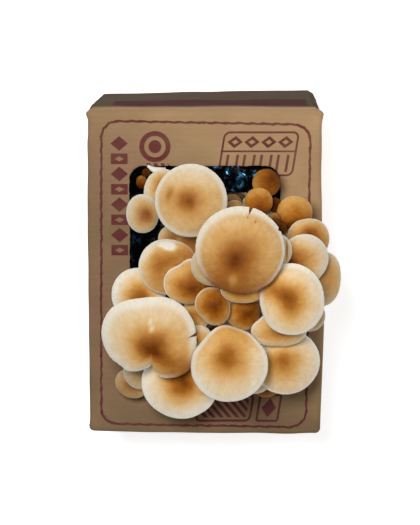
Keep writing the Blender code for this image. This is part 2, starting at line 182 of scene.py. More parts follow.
class StemSettings(bpy.types.PropertyGroup):
    sides: IntProperty(name="Sides", description="Points round a stem", default=28, min=8)
    rings: IntProperty(name="Rings", description="Rings along a stem", default=54, min=12)
    flesh: colour_setting("Flesh", "Colour of the stems", 232, 218, 188)
    age: colour_setting("Age", "Colour of the stems low down", 150, 108, 64)


class CapSettings(bpy.types.PropertyGroup):
    gills: IntProperty(name="Gills", description="Gills under a large cap", default=72, min=12)
    margin: length_setting("Margin", "Thickness of the margin", 0.9 * MM)
    crown: colour_setting("Crown", "Darkest colour, of the crown", 100, 46, 0)
    brown: colour_setting("Brown", "Colour a quarter of the way out", 159, 96, 24)
    tan: colour_setting("Tan", "Colour half of the way out", 206, 156, 85)
    cream: colour_setting("Cream", "Colour near the margin", 222, 194, 150)
    rim: colour_setting("Rim", "Palest colour, of the margin", 233, 228, 214)
    gill: colour_setting("Gill", "Colour of the gills", 206, 182, 146)


class StageSettings(bpy.types.PropertyGroup):
    floor: FloatVectorProperty(
        name="Floor", description="Colour of the floor", default=(0.93, 0.93, 0.92), subtype="COLOR"
    )
    lens: FloatProperty(name="Lens", description="Focal length in millimetres", default=166.06)
    eye: place_setting("Eye", "Place of the camera", 0.0053, 0.2539, 1.620)
    aim: place_setting("Aim", "Point that the camera faces", 0.0033, 0.0064, 0.120)
    key: power_setting("Key", "Power of the main light", 11.0)
    fill: power_setting("Fill", "Power of the second light", 1.2)
    foot: power_setting("Foot", "Power of the low light at the foot", 2.0)
    sky: FloatProperty(name="Sky", description="Strength of the light from all round", default=0.12)


# How materials and surfaces are made
class Number:
    """A number on its way through a material. Arithmetic on it adds Math nodes."""

    def __init__(self, finish, socket):
        self.finish = finish
        self.socket = socket

    def math(self, operation, *values):
        return self.finish.number("ShaderNodeMath", {"operation": operation}, dict(enumerate(values)))

    def __add__(self, other):
        return self.math("ADD", self, other)

    def __sub__(self, other):
        return self.math("SUBTRACT", self, other)

    def __rsub__(self, other):
        return self.math("SUBTRACT", other, self)

    def __mul__(self, other):
        return self.math("MULTIPLY", self, other)

    def __truediv__(self, other):
        return self.math("DIVIDE", self, other)

    def __mod__(self, other):
        return self.math("FLOORED_MODULO", self, other)

    def __pow__(self, other):
        return self.math("POWER", self, other)

    def __abs__(self):
        return self.math("ABSOLUTE", self)

    __radd__ = __add__
    __rmul__ = __mul__

    def least(self, other):
        return self.math("MINIMUM", self, other)

    def most(self, other):
        return self.math("MAXIMUM", self, other)

    def sine(self):
        return self.math("SINE", self)

    def above(self, limit):
        return self.math("GREATER_THAN", self, limit)

    def rise(self, low, high, kind="SMOOTHSTEP"):
        """0 below low and 1 above high, with a smooth rise between, or an even one if it is LINEAR."""
        inputs = {"Value": self, "From Min": low, "From Max": high}
        return self.finish.number("ShaderNodeMapRange", {"interpolation_type": kind}, inputs)


class Finish:
    """A material in the making: its nodes are added here and end in its Principled shader."""

    def __init__(self, name, **constants):
        self.material = bpy.data.materials.new(name)
        self.material.use_nodes = True
        self.tree = self.material.node_tree
        self.shader = self.tree.nodes["Principled BSDF"]
        for socket, value in constants.items():
            self.feed(self.shader.inputs[socket.replace("_", " ")], value)

    def feed(self, socket, value):
        """Links a socket to a number or another socket, or sets its value."""
        if isinstance(value, Number):
            value = value.socket
        if isinstance(value, bpy.types.NodeSocket):
            self.tree.links.new(value, socket)
        elif socket.type == "RGBA":
            socket.default_value = (*value, 1.0)
        else:
            socket.default_value = value

    def node(self, kind, settings=None, inputs=None):
        """Adds a node of a kind, applies its settings, then feeds its sockets."""
        node = self.tree.nodes.new(kind)
        for name, value in (settings or {}).items():
            setattr(node, name, value)
        for name, value in (inputs or {}).items():
            self.feed(node.inputs[name], value)
        return node

    def number(self, kind, settings=None, inputs=None, output=0):
        return Number(self, self.node(kind, settings, inputs).outputs[output])

    def place(self):
        """The point's place in the object, in metres."""
        return self.node("ShaderNodeTexCoord").outputs["Object"]

    def trait(self, name):
        """A vector that the mesh holds at each point."""
        return self.node("ShaderNodeAttribute", {"attribute_name": name}).outputs["Vector"]

    def level(self, name):
        """A number that the mesh holds at each point."""
        return self.number("ShaderNodeAttribute", {"attribute_name": name}, output="Fac")

    def split(self, vector):
        node = self.node("ShaderNodeSeparateXYZ", None, {0: vector})
        return [Number(self, output) for output in node.outputs]

    def join(self, x, y, z):
        return self.node("ShaderNodeCombineXYZ", None, {0: x, 1: y, 2: z}).outputs[0]

    def stretch(self, vector, factors):
        inputs = {0: vector, 1: factors}
        return self.node("ShaderNodeVectorMath", {"operation": "MULTIPLY"}, inputs).outputs[0]

    def dim(self, colour, factor):
        """A colour made darker or lighter by a number."""
        inputs = {"Vector": colour, "Scale": factor}
        return self.node("ShaderNodeVectorMath", {"operation": "SCALE"}, inputs).outputs[0]

    def blend(self, factor, first, second):
        """The first colour where the factor is 0 and the second where it is 1."""
        inputs = {0: factor, 6: first, 7: second}
        return self.node("ShaderNodeMix", {"data_type": "RGBA"}, inputs).outputs[2]

    def noise(self, vector, scale, detail=2.0, roughness=0.5, distortion=0.0):
        inputs = {
            "Vector": vector,
            "Scale": scale,
            "Detail": detail,
            "Roughness": roughness,
            "Distortion": distortion,
        }
        return self.number("ShaderNodeTexNoise", None, inputs)

    def cells(self, vector, scale):
        """How far each point lies from the nearest of many scattered ones."""
        inputs = {"Vector": vector, "Scale": scale}
        return self.number("ShaderNodeTexVoronoi", None, inputs, "Distance")

    def bump(self, height, distance, strength=1.0):
        """The normal of a surface that stands this distance proud where the height is 1."""
        inputs = {"Height": height, "Distance": distance, "Strength": strength}
        return self.node("ShaderNodeBump", None, inputs).outputs["Normal"]

    def wear(self, **sockets):
        """Feeds the Principled shader and gives back the material."""
        for name, value in sockets.items():
            self.feed(self.shader.inputs[name.replace("_", " ")], value)
        return self.material


class Shape:
    """Surfaces gathered for one mesh, each a grid of rings, with the numbers that its material reads."""

    def __init__(self):
        self.points = []
        self.corners = []
        self.sizes = []
        self.slots = []
        self.traits = {}
        self.count = 0

    def add(self, rings, traits=None, start=None, end=None, slots=0, closed=True):
        """Joins each ring to the next, and fans the first and last to a start and an end point.

        Where the grid is closed, its last column joins its first. Seen from outside, the columns run
        anticlockwise while the rings run down.
        """
        bands, columns = rings.shape[0] - 1, rings.shape[1]
        index = self.count + np.arange(rings.shape[0] * columns).reshape(rings.shape[:2])
        after = np.roll(index, -1, axis=1)
        used = slice(None) if closed else slice(0, -1)
        upper, upper_next = index[:-1, used], after[:-1, used]
        lower, lower_next = index[1:, used], after[1:, used]
        self.points.append(rings.reshape(-1, 3))
        slots = np.broadcast_to(slots, (bands + 2,))
        self.faces(np.stack([upper, lower, lower_next, upper_next], axis=-1).reshape(-1, 4),
                   np.repeat(slots[1:-1], upper.shape[1]))
        self.count += rings.shape[0] * columns
        for point, ring, order, slot in ((start, 0, 1, slots[0]), (end, -1, -1, slots[-1])):
            if point is not None:
                pole = np.full(columns, self.count)
                fan = np.stack([pole, index[ring], after[ring]], axis=-1)
                self.faces(fan[:, ::order], np.repeat(slot, columns))
                self.points.append(np.reshape(point, (1, 3)))
                self.count += 1
        for name, values in (traits or {}).items():
            parts = [values.reshape(index.size, -1)]
            for point, ring in ((start, 0), (end, -1)):
                if point is not None:
                    parts.append(values[ring].reshape(columns, -1).mean(axis=0, keepdims=True))
            self.traits.setdefault(name, []).append(np.concatenate(parts))

    def faces(self, faces, slots):
        self.corners.append(faces.ravel())
        self.sizes.append(np.full(len(faces), faces.shape[1]))
        self.slots.append(slots)

    def build(self, name, materials):
        """The gathered surfaces as a smooth-shaded object."""
        points = np.concatenate(self.points)
        loops = np.concatenate(self.corners)
        sizes = np.concatenate(self.sizes)
        mesh = bpy.data.meshes.new(name)
        mesh.vertices.add(len(points))
        mesh.vertices.foreach_set("co", points.astype(np.float32).ravel())
        mesh.loops.add(len(loops))
        mesh.loops.foreach_set("vertex_index", loops.astype(np.int32))
        mesh.polygons.add(len(sizes))
        mesh.polygons.foreach_set("loop_start", (np.cumsum(sizes) - sizes).astype(np.int32))
        mesh.polygons.foreach_set("material_index", np.concatenate(self.slots).astype(np.int32))
        mesh.update(calc_edges=True)
        mesh.shade_smooth()
        for trait, values in self.traits.items():
            values = np.concatenate(values).astype(np.float32)
            values = np.pad(values, ((0, 0), (0, 1))) if values.shape[1] == 2 else values
            kind, field = ("FLOAT", "value") if values.shape[1] == 1 else ("FLOAT_VECTOR", "vector")
            mesh.attributes.new(trait, kind, "POINT").data.foreach_set(field, values.ravel())
        for material in materials:
            mesh.materials.append(material)
        obj = bpy.data.objects.new(name, mesh)
        bpy.context.scene.collection.objects.link(obj)
        return obj


def stand_for(obj, slot, *nodes):
    """Puts a finished piece in place of its CAD nodes."""
    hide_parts(*nodes)
    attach(obj, "root")


def unit(vector):
    return vector / np.linalg.norm(vector, axis=-1, keepdims=True)


def ripple(points, wavelength, seed, count=10):
    """Smooth unevenness of about -1 to 1: the sum of sine waves that run in random directions."""
    rng = np.random.default_rng(seed)
    ways = unit(rng.normal(size=(count, points.shape[-1])))
    waves = ways * (FULL_TURN / (wavelength * rng.uniform(0.7, 1.6, (count, 1))))
    total = np.sin(points @ waves.T + rng.uniform(0, FULL_TURN, count)).sum(axis=-1)
    return total / math.sqrt(count) / 1.4


def bell(values, middle, width):
    """A bell curve: 1 in the middle, falling off over the width."""
    return np.exp(-(((values - middle) / width) ** 2))


def turned(angles, direction):
    """How far angles in radians lie from a direction in degrees, half a turn at most either way."""
    return (angles - math.radians(direction) + np.pi) % FULL_TURN - np.pi


def round_outline(low, high, corner, across, along, arc):
    """A rectangle with round corners, anticlockwise from its right side: points and outward normals.

    Each corner is a quarter circle of arc points. The straight sides between them have across points
    on the top and bottom and along points on the left and right.
    """
    points, normals = [], []
    for quarter in range(4):
        signs = np.array([1 if quarter in (0, 3) else -1, 1 if quarter in (0, 1) else -1])
        centre = np.where(signs > 0, np.asarray(high) - corner, np.asarray(low) + corner)
        angles = np.radians(np.linspace(90 * quarter, 90 * quarter + 90, arc))
        ways = np.stack([np.cos(angles), np.sin(angles)], axis=-1)
        points.append(centre + corner * ways)
        normals.append(ways)
    outline, outward = [], []
    for quarter in range(4):
        count = across if quarter in (0, 2) else along
        share = np.linspace(0, 1, count + 2)[1:-1, None]
        first, second = points[quarter][-1], points[(quarter + 1) % 4][0]
        outline += [points[quarter], first + (second - first) * share]
        outward += [normals[quarter], np.repeat(normals[quarter][-1:], count, axis=0)]
    return np.concatenate(outline), np.concatenate(outward)


def wrapped_rings(hole, outline, outward, levels, folds, rows):
    """Rings of a sheet folded round a box, from its hole over the top fold, down and in along the bottom.

    levels are the top and bottom heights, folds the radius of the top and bottom folds at each column,
    and rows the numbers of rings on the top, its fold, the wall, its fold and the bottom. A fold is a
    quarter circle.
    """
    top, bottom = levels
    upper, lower = (np.broadcast_to(fold, len(outline))[None, :, None] for fold in folds)
    hole, outline, outward = hole[None], outline[None], outward[None]
    flat, bend, wall, tuck, under = (np.linspace(0, 1, count)[:, None, None] for count in rows)
    angle = bend[1:] * np.pi / 2
    top_edge = outline - outward * upper
    plans = [hole + (top_edge - hole) * flat]
    heights = [np.full(plans[0].shape[:2] + (1,), top)]
    plans.append(top_edge + outward * upper * np.sin(angle))
    heights.append(top - upper * (1 - np.cos(angle)))
    heights.append((top - upper) + (bottom + lower - top + upper) * wall[1:])
    plans.append(np.broadcast_to(outline, heights[-1].shape[:2] + (2,)))
    angle = tuck[1:] * np.pi / 2
    plans.append(outline - outward * lower * (1 - np.cos(angle)))
    heights.append(bottom + lower * (1 - np.sin(angle)))
    bottom_edge = outline - outward * lower
    middle = outline.mean(axis=1, keepdims=True)
    plans.append(bottom_edge + (middle - bottom_edge) * under[1:-1])
    heights.append(np.full(plans[-1].shape[:2] + (1,), bottom))
    rings = np.concatenate([np.concatenate(plans), np.concatenate(heights)], axis=-1)
    return rings, np.array([*middle[0, 0], bottom])


# The carton
def settled(points, settings):
    """Ideal points of the carton moved as its board has settled.

    The right wall bulges most below its middle and the others a little, the top end narrows towards
    the back, its fold's corners stick out as ears, and the whole sheet is slightly uneven.
    """
    x, y, z = (points[..., axis].copy() for axis in range(3))
    high, up = z / FACE, np.clip(z / FACE, 0, 1)
    belly = np.sqrt(np.sin(np.pi * np.clip(up / 1.07, 0, 1)))
    half_x, half_y = CARTON_HIGH[:2]
    right, left = np.clip(x / half_x, 0, 1) ** 6, np.clip(-x / half_x, 0, 1) ** 6
    top_end, foot_end = np.clip(y / half_y, 0, 1) ** 6, np.clip(-y / half_y, 0, 1) ** 6
    along = np.cos(np.clip(y / half_y, -1, 1) * np.pi / 2)
    out = settings.bulge * right * belly * bell(y, -35 * MM, 52 * MM)
    out -= 0.7 * MM * left * belly * along
    out += (1 - up) * np.clip(y / half_y, 0, 1) ** 2 * (2.6 * MM * left - 0.2 * MM * right)
    near_top = bell(z, FACE - 2 * MM, 8 * MM)
    out -= 1.8 * MM * left * np.clip(y / half_y, 0, 1) ** 2 * np.sin(np.pi * up)
    out += near_top * (1.5 * MM * right * bell(y, half_y - 1 * MM, 5 * MM)
                       - 1.3 * MM * left * bell(y, half_y - 1 * MM, 4 * MM)
                       + 1.0 * MM * left * bell(y, half_y - 10 * MM, 7 * MM)
                       - 0.8 * MM * left * bell(y, -half_y, 5 * MM))
    endways = belly * np.cos(np.clip(x / half_x, -1, 1) * np.pi / 2)
    back = 0.5 * MM * top_end * endways - 1.2 * MM * foot_end * endways
    back += (1 - up) * top_end * (1.4 * MM * x / half_x - 0.5 * MM)
    back -= (1.4 + 1.0 * x / half_x) * MM * near_top * foot_end
    back += 0.35 * MM * near_top * (top_end + foot_end) * ripple(x[..., None], 30 * MM, 3)
    sag = ripple(points[..., :2], 60 * MM, 4) * 0.45 + ripple(points[..., :2], 17 * MM, 5) * 0.14
    lift = MM * sag * np.clip(high * 8 - 7, 0, 1)
    uneven = ripple(points, 24 * MM, 6) * 0.15 * MM + ripple(points, 70 * MM, 7) * 0.25 * MM
    across = x + out + uneven * (right - left)
    endwise = y + back + uneven * (top_end - foot_end)
    return np.stack([across, endwise, z + lift], axis=-1)


def box_distance(x, y, centre, half, corner=0.0):
    """How far a point lies outside a rectangle with round corners, below 0 inside it.

    It is the length of what is past the sides of a rectangle smaller by the corners' radius, less that
    radius.
    """
    across = abs(x - centre[0]) - (half[0] - corner)
    along = abs(y - centre[1]) - (half[1] - corner)
    past_x, past_y = across.most(0.0), along.most(0.0)
    return (past_x * past_x + past_y * past_y) ** 0.5 + across.most(along).least(0.0) - corner


def ring_distance(x, y, centre, radius):
    """How far a point lies from a circle's line."""
    off_x, off_y = x - centre[0], y - centre[1]
    return abs((off_x * off_x + off_y * off_y) ** 0.5 - radius)


def lozenge_distance(x, y, half):
    """About how far a point lies outside a lozenge round the origin.

    On its sides the shares of its two half widths sum to 1.
    """
    return (abs(x) / half[0] + abs(y) / half[1] - 1) * (min(half) * 0.8)


def print_on_face(x, y):
    """Distance in millimetres to the nearest printed line or shape on the front, all plain ornaments.

    They are a wavering border, a column of bars and lozenges, a ring round a dot over slats, a frame of
    lozenges and slats, a frame with slanting bars, and a framed lozenge. A line is the distance from its
    middle less half its width, and most of two shapes is where they overlap.
    """
    finish = x.finish
    waver = finish.noise(finish.join(x, y, 0.0), 0.16, 2.0) - 0.5
    fine_waver = finish.noise(finish.join(x, y, 4.0), 0.75, 2.0) - 0.5
    scallop = ((x + y) * (FULL_TURN / 7.4)).sine() * 0.18
    border = box_distance(x - y * 0.008, y + x * 0.018, (0.0, -2.0), (65.0, 96.5), 10.5)
    border = abs(border + waver + fine_waver + scallop) - 0.70
    column_x, pitch = -53.3, 9.6
    row = (y - 9.5) / pitch
    within = (row % 1.0 - 0.5) * pitch
    odd = ((row / 2) % 1.0).above(0.5)
    bar = box_distance(x, within, (column_x, 0.0), (5.2, 3.3), 0.4)
    bar = bar.most(0 - lozenge_distance(x - column_x, within, (3.0, 1.7)))
    lozenge = lozenge_distance(x - column_x, within, (5.4, 4.6))
    column = bar * (1 - odd) + lozenge * odd
    column = column.most(box_distance(x, y, (column_x, 47.9), (6.0, 38.2)))
    crest_middle = (-31.0, 79.5)
    crest = ring_distance(x, y, crest_middle, 8.2) - 1.5
    crest = crest.least(ring_distance(x, y, crest_middle, 2.0) - 2.0)
    tilted = x + y * 0.35
    tail = abs((tilted / 4.4 % 1.0 - 0.5) * 4.4) - 1.1
    tail = tail.most(box_distance(tilted, y, (-6.2, 66.5), (7.6, 2.6), 0.5))
    slant = x - y * 0.16
    frame_x, frame_middle = 21.5, (21.5, 75.0)
    frame_line = abs(box_distance(slant, y, frame_middle, (23.0, 13.5), 3.5)) - 0.6
    cell = ((slant - 0.5) / 10.5 % 1.0 - 0.5) * 10.5
    beads = lozenge_distance(cell, y - 82.4, (4.8, 3.8))
    beads = beads.most(box_distance(slant, y, (frame_x, 82.0), (21.0, 4.8)))
    beads = beads.most(0 - lozenge_distance(cell, y - 82.4, (2.2, 1.6)))
    rule = abs(y - 76.6) - 0.5
    rule = rule.most(box_distance(slant, y, frame_middle, (22.8, 13.2)))
    slats = abs(abs(cell) - 3.0) - 0.8
    slats = slats.most(box_distance(slant, y, (frame_x, 69.0), (20.0, 5.4), 1.0))
    foot_y, plate_x = -87.0, 54.5
    low_frame = abs(box_distance(slant, y, (26.5, foot_y), (17.0, 8.4), 3.0)) - 0.7
    hatch = abs((slant + y) / 5.0 % 1.0 - 0.5) * 5.0 - 1.2
    hatch = hatch.most(box_distance(slant, y, (26.5, foot_y), (14.6, 6.2), 1.5))
    plate = abs(box_distance(slant, y, (plate_x, foot_y), (6.6, 8.4), 1.2)) - 0.7
    plate = plate.least(lozenge_distance(slant - plate_x, y - foot_y, (4.6, 6.2)))
    nearest = border
    for part in (column, crest, tail, frame_line, beads, rule, slats, low_frame, hatch, plate):
        nearest = nearest.least(part)
    return nearest


def kraft_board(settings):
    """Brown board: pale and dark fibres, faint flutes, damp stains and painted shade towards the left and
    the foot, and the print, with painted shade under the right fold, on the top end wall and at the foot's
    right corner.
    """
    finish = Finish("kraft_board_printed", Roughness=0.92, Metallic=0.0, Specular_IOR_Level=0.05)
    place = finish.place()
    x, y, z = finish.split(place)
    side = abs(finish.split(finish.node("ShaderNodeNewGeometry").outputs["Normal"])[1]).above(0.7)
    fibre = finish.noise(finish.stretch(place, (0.10, 1.0, 1.0)), 1500.0, 4.0, 0.62)
    speck = finish.noise(place, 2600.0, 2.0, 0.6)
    cloud = finish.noise(place, 24.0, 4.0, 0.55)
    fine_cloud = finish.noise(finish.stretch(place, (0.35, 1.0, 1.0)), 95.0, 3.0, 0.55)
    sway = finish.noise(place, 12.0) * 9.0
    flute = ((y * (1 - side) + z * side) * (FULL_TURN / FLUTE) + sway).sine() * 0.5 + 0.5
    # Darker towards the left and the foot: partly damp stains, partly painted shade.
    damp_and_shade = (0.62 - y * 4.0 - x * 5.0 + (cloud - 0.5) * 0.8).rise(0.1, 1.0)
    # Painted shade: the end walls are darker below their fold.
    damp_and_shade = damp_and_shade.most(side * (1 - z.rise(0.103, 0.111)) * 0.5)
    colour = finish.blend(damp_and_shade, tuple(settings.kraft), tuple(settings.damp_and_shade_colour))
    blush = finish.noise(finish.stretch(place, (0.7, 1.0, 1.0)), 17.0, 2.0, 0.5).rise(0.42, 0.68)
    colour = finish.blend(blush * 0.40, colour, tuple(settings.blush))
    shade = 0.80 + fibre * 0.20 + (cloud - 0.5) * 0.26 + (fine_cloud - 0.5) * 0.22 + flute * 0.025
    shade = shade - speck.rise(0.68, 0.80) * 0.10
    # Painted shade on the rounded right fold below the face, away from the end walls.
    shaded = x.rise(0.060, 0.066) * (1 - z.rise(0.1090, 0.1190)) * (1 - y.rise(0.010, 0.060)) * (1 - side)
    pale_patch = finish.noise(place, 38.0, 3.0, 0.5).rise(0.52, 0.78)
    shade = shade + pale_patch * 0.09
    # Painted shade at the foot's right corner of the face.
    foot_corner_shade = (1 - y.rise(-0.100, -0.066)) * x.rise(-0.02, 0.06)
    top_end = side * y.above(0.0)
    # shadow gathers the painted shade: under the right fold, on the top end wall and at the foot's right
    # corner.
    shadow = 1 - shaded * 0.45
    # Painted shade: the top end wall below its fold is darkened to 28 percent.
    shadow = shadow * (1 - top_end * (1 - z.rise(0.103, 0.110)) * 0.72)
    shadow = shadow * (1 - foot_corner_shade * 0.28)
    colour = finish.dim(colour, shade)
    front = z.above(FACE - 1.2 * MM)
    ink_line = 1 - print_on_face(x / MM, y / MM).rise(-0.12, 0.22)
    panel = box_distance(x / MM, z / MM, (3.5, 83.0), (62.0, 19.0), 1.5) + (fine_cloud - 0.5) * 6
    end = top_end * (1 - panel.rise(-2.0, 1.0)) * 1.1
    cover = (0.74 + fibre * 0.24 + (fine_cloud - 0.5) * 0.5).least(0.96)
    ink = (ink_line * front).most(end) * cover
    # The ink is twice as bright on the top end, so that the painted shade there leaves the panel dark red.
    print_colour = finish.dim(tuple(settings.ink), 1 + top_end)
    colour = finish.dim(finish.blend(ink, colour, print_colour), shadow)
    relief = fibre * 0.5 + speck * 0.25 + flute * 0.5
    return finish.wear(Base_Color=colour, Normal=finish.bump(relief, 0.10 * MM, 0.7))


def board_edge(settings):
    """The cut edge of the board: liners and a wavy flute seen end on, painted shade in the hollows between
    them, and torn fibres.
    """
    finish = Finish("kraft_board_edge", Roughness=0.95, Metallic=0.0, Specular_IOR_Level=0.2)
    place = finish.place()
    x, y, z = finish.split(place)
    wave = ((x + y) * (FULL_TURN / CUT_FLUTE)).sine() * 0.28 + 0.5
    wave = wave * settings.board + (FACE - settings.board)
    paper = 1 - abs(z - wave).rise(0.12 * MM, 0.38 * MM)
    liner = (abs(z - (FACE - settings.board / 2)) - settings.board * 0.36).rise(0.0, 0.1 * MM)
    # Painted shade: away from the liners and the flute the edge is dark, standing for the hollow channels.
    shade = 0.34 + paper.most(liner) * 0.5 + finish.noise(place, 1800.0, 3.0) * 0.3
    return finish.wear(Base_Color=finish.dim(tuple(settings.kraft), shade))


def thicken(obj, thickness, rim_slot=0):
    """Gives a sheet its thickness inwards, its cut edges the material of a slot after its own."""
    sheet = obj.modifiers.new("Sheet", "SOLIDIFY")
    sheet.thickness = thickness
    sheet.offset = -1.0
    sheet.material_offset_rim = rim_slot


class GROWKIT_OT_carton(bpy.types.Operator):
    """Folds the kraft carton with its window, its end flaps and its glued seam"""

    bl_idname = "growkit.carton"
    bl_label = "Carton"

    def execute(self, context):
        settings = context.scene.growkit_carton
        counts = (56, 82, 9)
        hole, ways = round_outline(WINDOW_LOW, WINDOW_HIGH, settings.window_corner, *counts)
        tear = ripple(hole, 7 * MM, 11) * 0.6 + ripple(hole, 2.6 * MM, 12) * 0.4
        hole = hole + ways * (tear * settings.ragged)[:, None]
        outline, outward = round_outline(CARTON_LOW[:2], CARTON_HIGH[:2], 3.2 * MM, *counts)
        crushed = settings.crush * bell(outline[:, 1], -32 * MM, 52 * MM)
        on_right = outline[:, 0] > CARTON_HIGH[0] - 0.1 * MM
        crushed *= (1 - (outline[:, 1] / CARTON_HIGH[1]) ** 6) * on_right
        folds = (settings.fold + crushed, settings.fold)
        rings, end = wrapped_rings(hole, outline, outward, (FACE, 0.0), folds, (30, 8, 34, 6, 14))
        shape = Shape()
        shape.add(settled(rings, settings), end=end)
        board = kraft_board(settings)
        edge = board_edge(settings)
        carton = shape.build("carton_board", [board, edge])
        thicken(carton, settings.board, 1)
        stand_for(carton, "kraft_board", "carton")
        flaps = Shape()
        for end_way in (1, -1):
            flaps.add(settled(end_flap(end_way), settings), closed=False)
        flaps.add(settled(glue_seam(), settings), closed=False)
        lapped = flaps.build("carton_flaps", [board, edge])
        thicken(lapped, 0.9 * MM, 1)
        stand_for(lapped, "kraft_board", "carton")
        return {"FINISHED"}


def end_flap(way):
    """The outer flap of an end wall: a sheet just proud of it, with slanted corners at its free edge."""
    down = np.linspace(0, 1, 40)[:, None]
    over = np.linspace(-1, 1, 60)[None, :]
    reach = CARTON_HIGH[0] - 3.4 * MM - 1.0 * MM * np.clip((down - 0.90) / 0.10, 0, 1) ** 1.6
    x = over * reach * -way
    upper, lower = FACE - 6.0 * MM, 4.0 * MM
    z = upper + (lower - upper) * down + 0 * over
    proud = 0.9 * MM * np.clip(down * 10, 0, 1) - 0.5 * MM
    y = way * (CARTON_HIGH[1] + proud) + 0 * over
    return np.stack(np.broadcast_arrays(x, y, z), axis=-1)[::-1]


def glue_seam():
    """The glued lap of the carton: a strip along the foot of the left wall, just proud of it."""
    down = np.linspace(0, 1, 12)[:, None]
    over = np.linspace(1, -1, 90)[None, :]
    z = 30 * MM - 25 * MM * down
    slant = 5 * MM * (1 - down)
    y = over * (CARTON_HIGH[1] - 5 * MM - slant)
    x = CARTON_LOW[0] - 0.8 * MM + 0 * over
    return np.stack(np.broadcast_arrays(x, y, z), axis=-1)[::-1]


# The film bag
def creases(plan, count, spread, seed):
    """Crumpled height, about -1 to 1: the sum of tents along random lines, each fading from its middle.

    A tent is highest on its line and falls straight to 0 at its width, so it leaves a sharp ridge or
    valley.
    """
    rng = np.random.default_rng(seed)
    total = np.zeros(plan.shape[:-1])
    spots = plan.reshape(-1, plan.shape[-1])
    low, high = spots.min(axis=0), spots.max(axis=0)
    for _ in range(count):
        middle = rng.uniform(low, high)
        way = unit(rng.normal(size=plan.shape[-1]))
        width = spread * rng.uniform(0.25, 0.8)
        off = plan - middle
        across = np.abs(off @ way)
        far = np.linalg.norm(off, axis=-1) / (spread * rng.uniform(0.8, 2.2))
        total += np.clip(1 - across / width, 0, 1) * np.exp(-(far**2)) * rng.uniform(-0.7, 1.0)
    return total


def black_film(settings):
    """Crumpled film: black, metallic and blue in streaks in two zones so that it glints blue there, with
    one painted blue reflection in the right one.
    """
    finish = Finish("black_film_creased", Roughness=0.16, Specular_IOR_Level=0.01)
    place = finish.place()
    x, y, _ = finish.split(place)
    fine = finish.noise(place, 300.0, 2.0, 0.5, 0.6)
    folds = finish.cells(place, 150.0) + fine * 0.5
    # The film is made metallic and blue in streaks within two zones, so it reflects the lamps as blue
    # glints there.
    streak = finish.noise(finish.stretch(place, (1.0, 0.45, 1.0)), 230.0, 2.0, 0.5, 0.4).rise(0.54, 0.66)
    right_zone = x.rise(-0.012, 0.0) * (1 - x.rise(0.026, 0.036)) * y.rise(0.040, 0.052)
    left_zone = (1 - x.rise(-0.044, -0.036)) * (1 - y.rise(0.020, 0.034))
    glint = streak * right_zone.most(left_zone * 0.35)
    # Painted reflection: a fixed blue patch in the right zone, seen the same from every side.
    painted_sheen = 1 - box_distance(x / MM, y / MM, (22.0, 58.0), (1.6, 4.5), 1.5).rise(-1.5, 1.5)
    painted_sheen = painted_sheen * fine.rise(0.40, 0.60)
    colour = finish.blend(glint, tuple(settings.film), (0.016, 0.065, 0.12))
    return finish.wear(
        Base_Color=finish.blend(painted_sheen, colour, (0.05, 0.20, 0.36)),
        Metallic=glint,
        Normal=finish.bump(folds, 0.8 * MM, 0.9),
    )


class GROWKIT_OT_film(bpy.types.Operator):
    """Crumples the black film bag, torn open round the bunches"""

    bl_idname = "growkit.film"
    bl_label = "Film bag"

    def execute(self, context):
        settings = context.scene.growkit_film
        counts = (56, 76, 10)
        tear, ways = round_outline(TEAR_LOW, TEAR_HIGH, 9.5 * MM, *counts)
        shred = ripple(tear, 9 * MM, 21) * 1.2 + ripple(tear, 3 * MM, 22) * 0.6
        tear = tear + ways * (shred * MM)[:, None]
        outline, outward = round_outline(BAG_LOW[:2], BAG_HIGH[:2], 9 * MM, *counts)
        levels = (BAG_HIGH[2], BAG_LOW[2])
        rings, end = wrapped_rings(tear, outline, outward, levels, (9 * MM, 9 * MM), (46, 8, 22, 6, 10))
        plan = rings[..., :2]
        from_edge = np.minimum(WINDOW_HIGH - plan, plan - WINDOW_LOW)
        open_above = np.clip((from_edge - 3 * MM) / (6 * MM), 0, 1).prod(axis=-1)
        on_top = np.clip((rings[..., 2] - BAG_HIGH[2] + 3 * MM) / (3 * MM), 0, 1)
        rough = creases(plan, 110, 17 * MM, 23) + creases(plan, 160, 8 * MM, 24) * 0.6
        highest = 2.6 * MM + 2.0 * MM * open_above
        height = np.clip(0.9 * MM + rough * settings.crumple * 0.6, -0.4 * MM, highest)
        rings[..., 2] += on_top * height
        rings[0, :, 2] += 0.5 * MM
        shape = Shape()
        shape.add(rings, end=end)
        film = shape.build("film_bag", [black_film(settings)])
        thicken(film, settings.thickness)
        stand_for(film, "black_film", "grow_bag")
        return {"FINISHED"}


# The block and its tuft
def sawdust(settings):
    """The block: pressed sawdust under a patchy skin of mycelium."""
    finish = Finish("substrate_block_mycelium", Roughness=0.95, Metallic=0.0, Specular_IOR_Level=0.2)
    place = finish.place()
    grain = finish.cells(place, 900.0)
    patch = finish.noise(place, 130.0, 5.0, 0.62)
    colour = finish.dim(tuple(settings.sawdust), 0.55 + grain * 0.9)
    colour = finish.blend(patch.rise(0.48, 0.70) * 0.55, colour, tuple(settings.mycelium))
    relief = grain + finish.noise(place, 1600.0, 3.0) * 0.7
    return finish.wear(Base_Color=colour, Normal=finish.bump(relief, 0.5 * MM, 0.9))


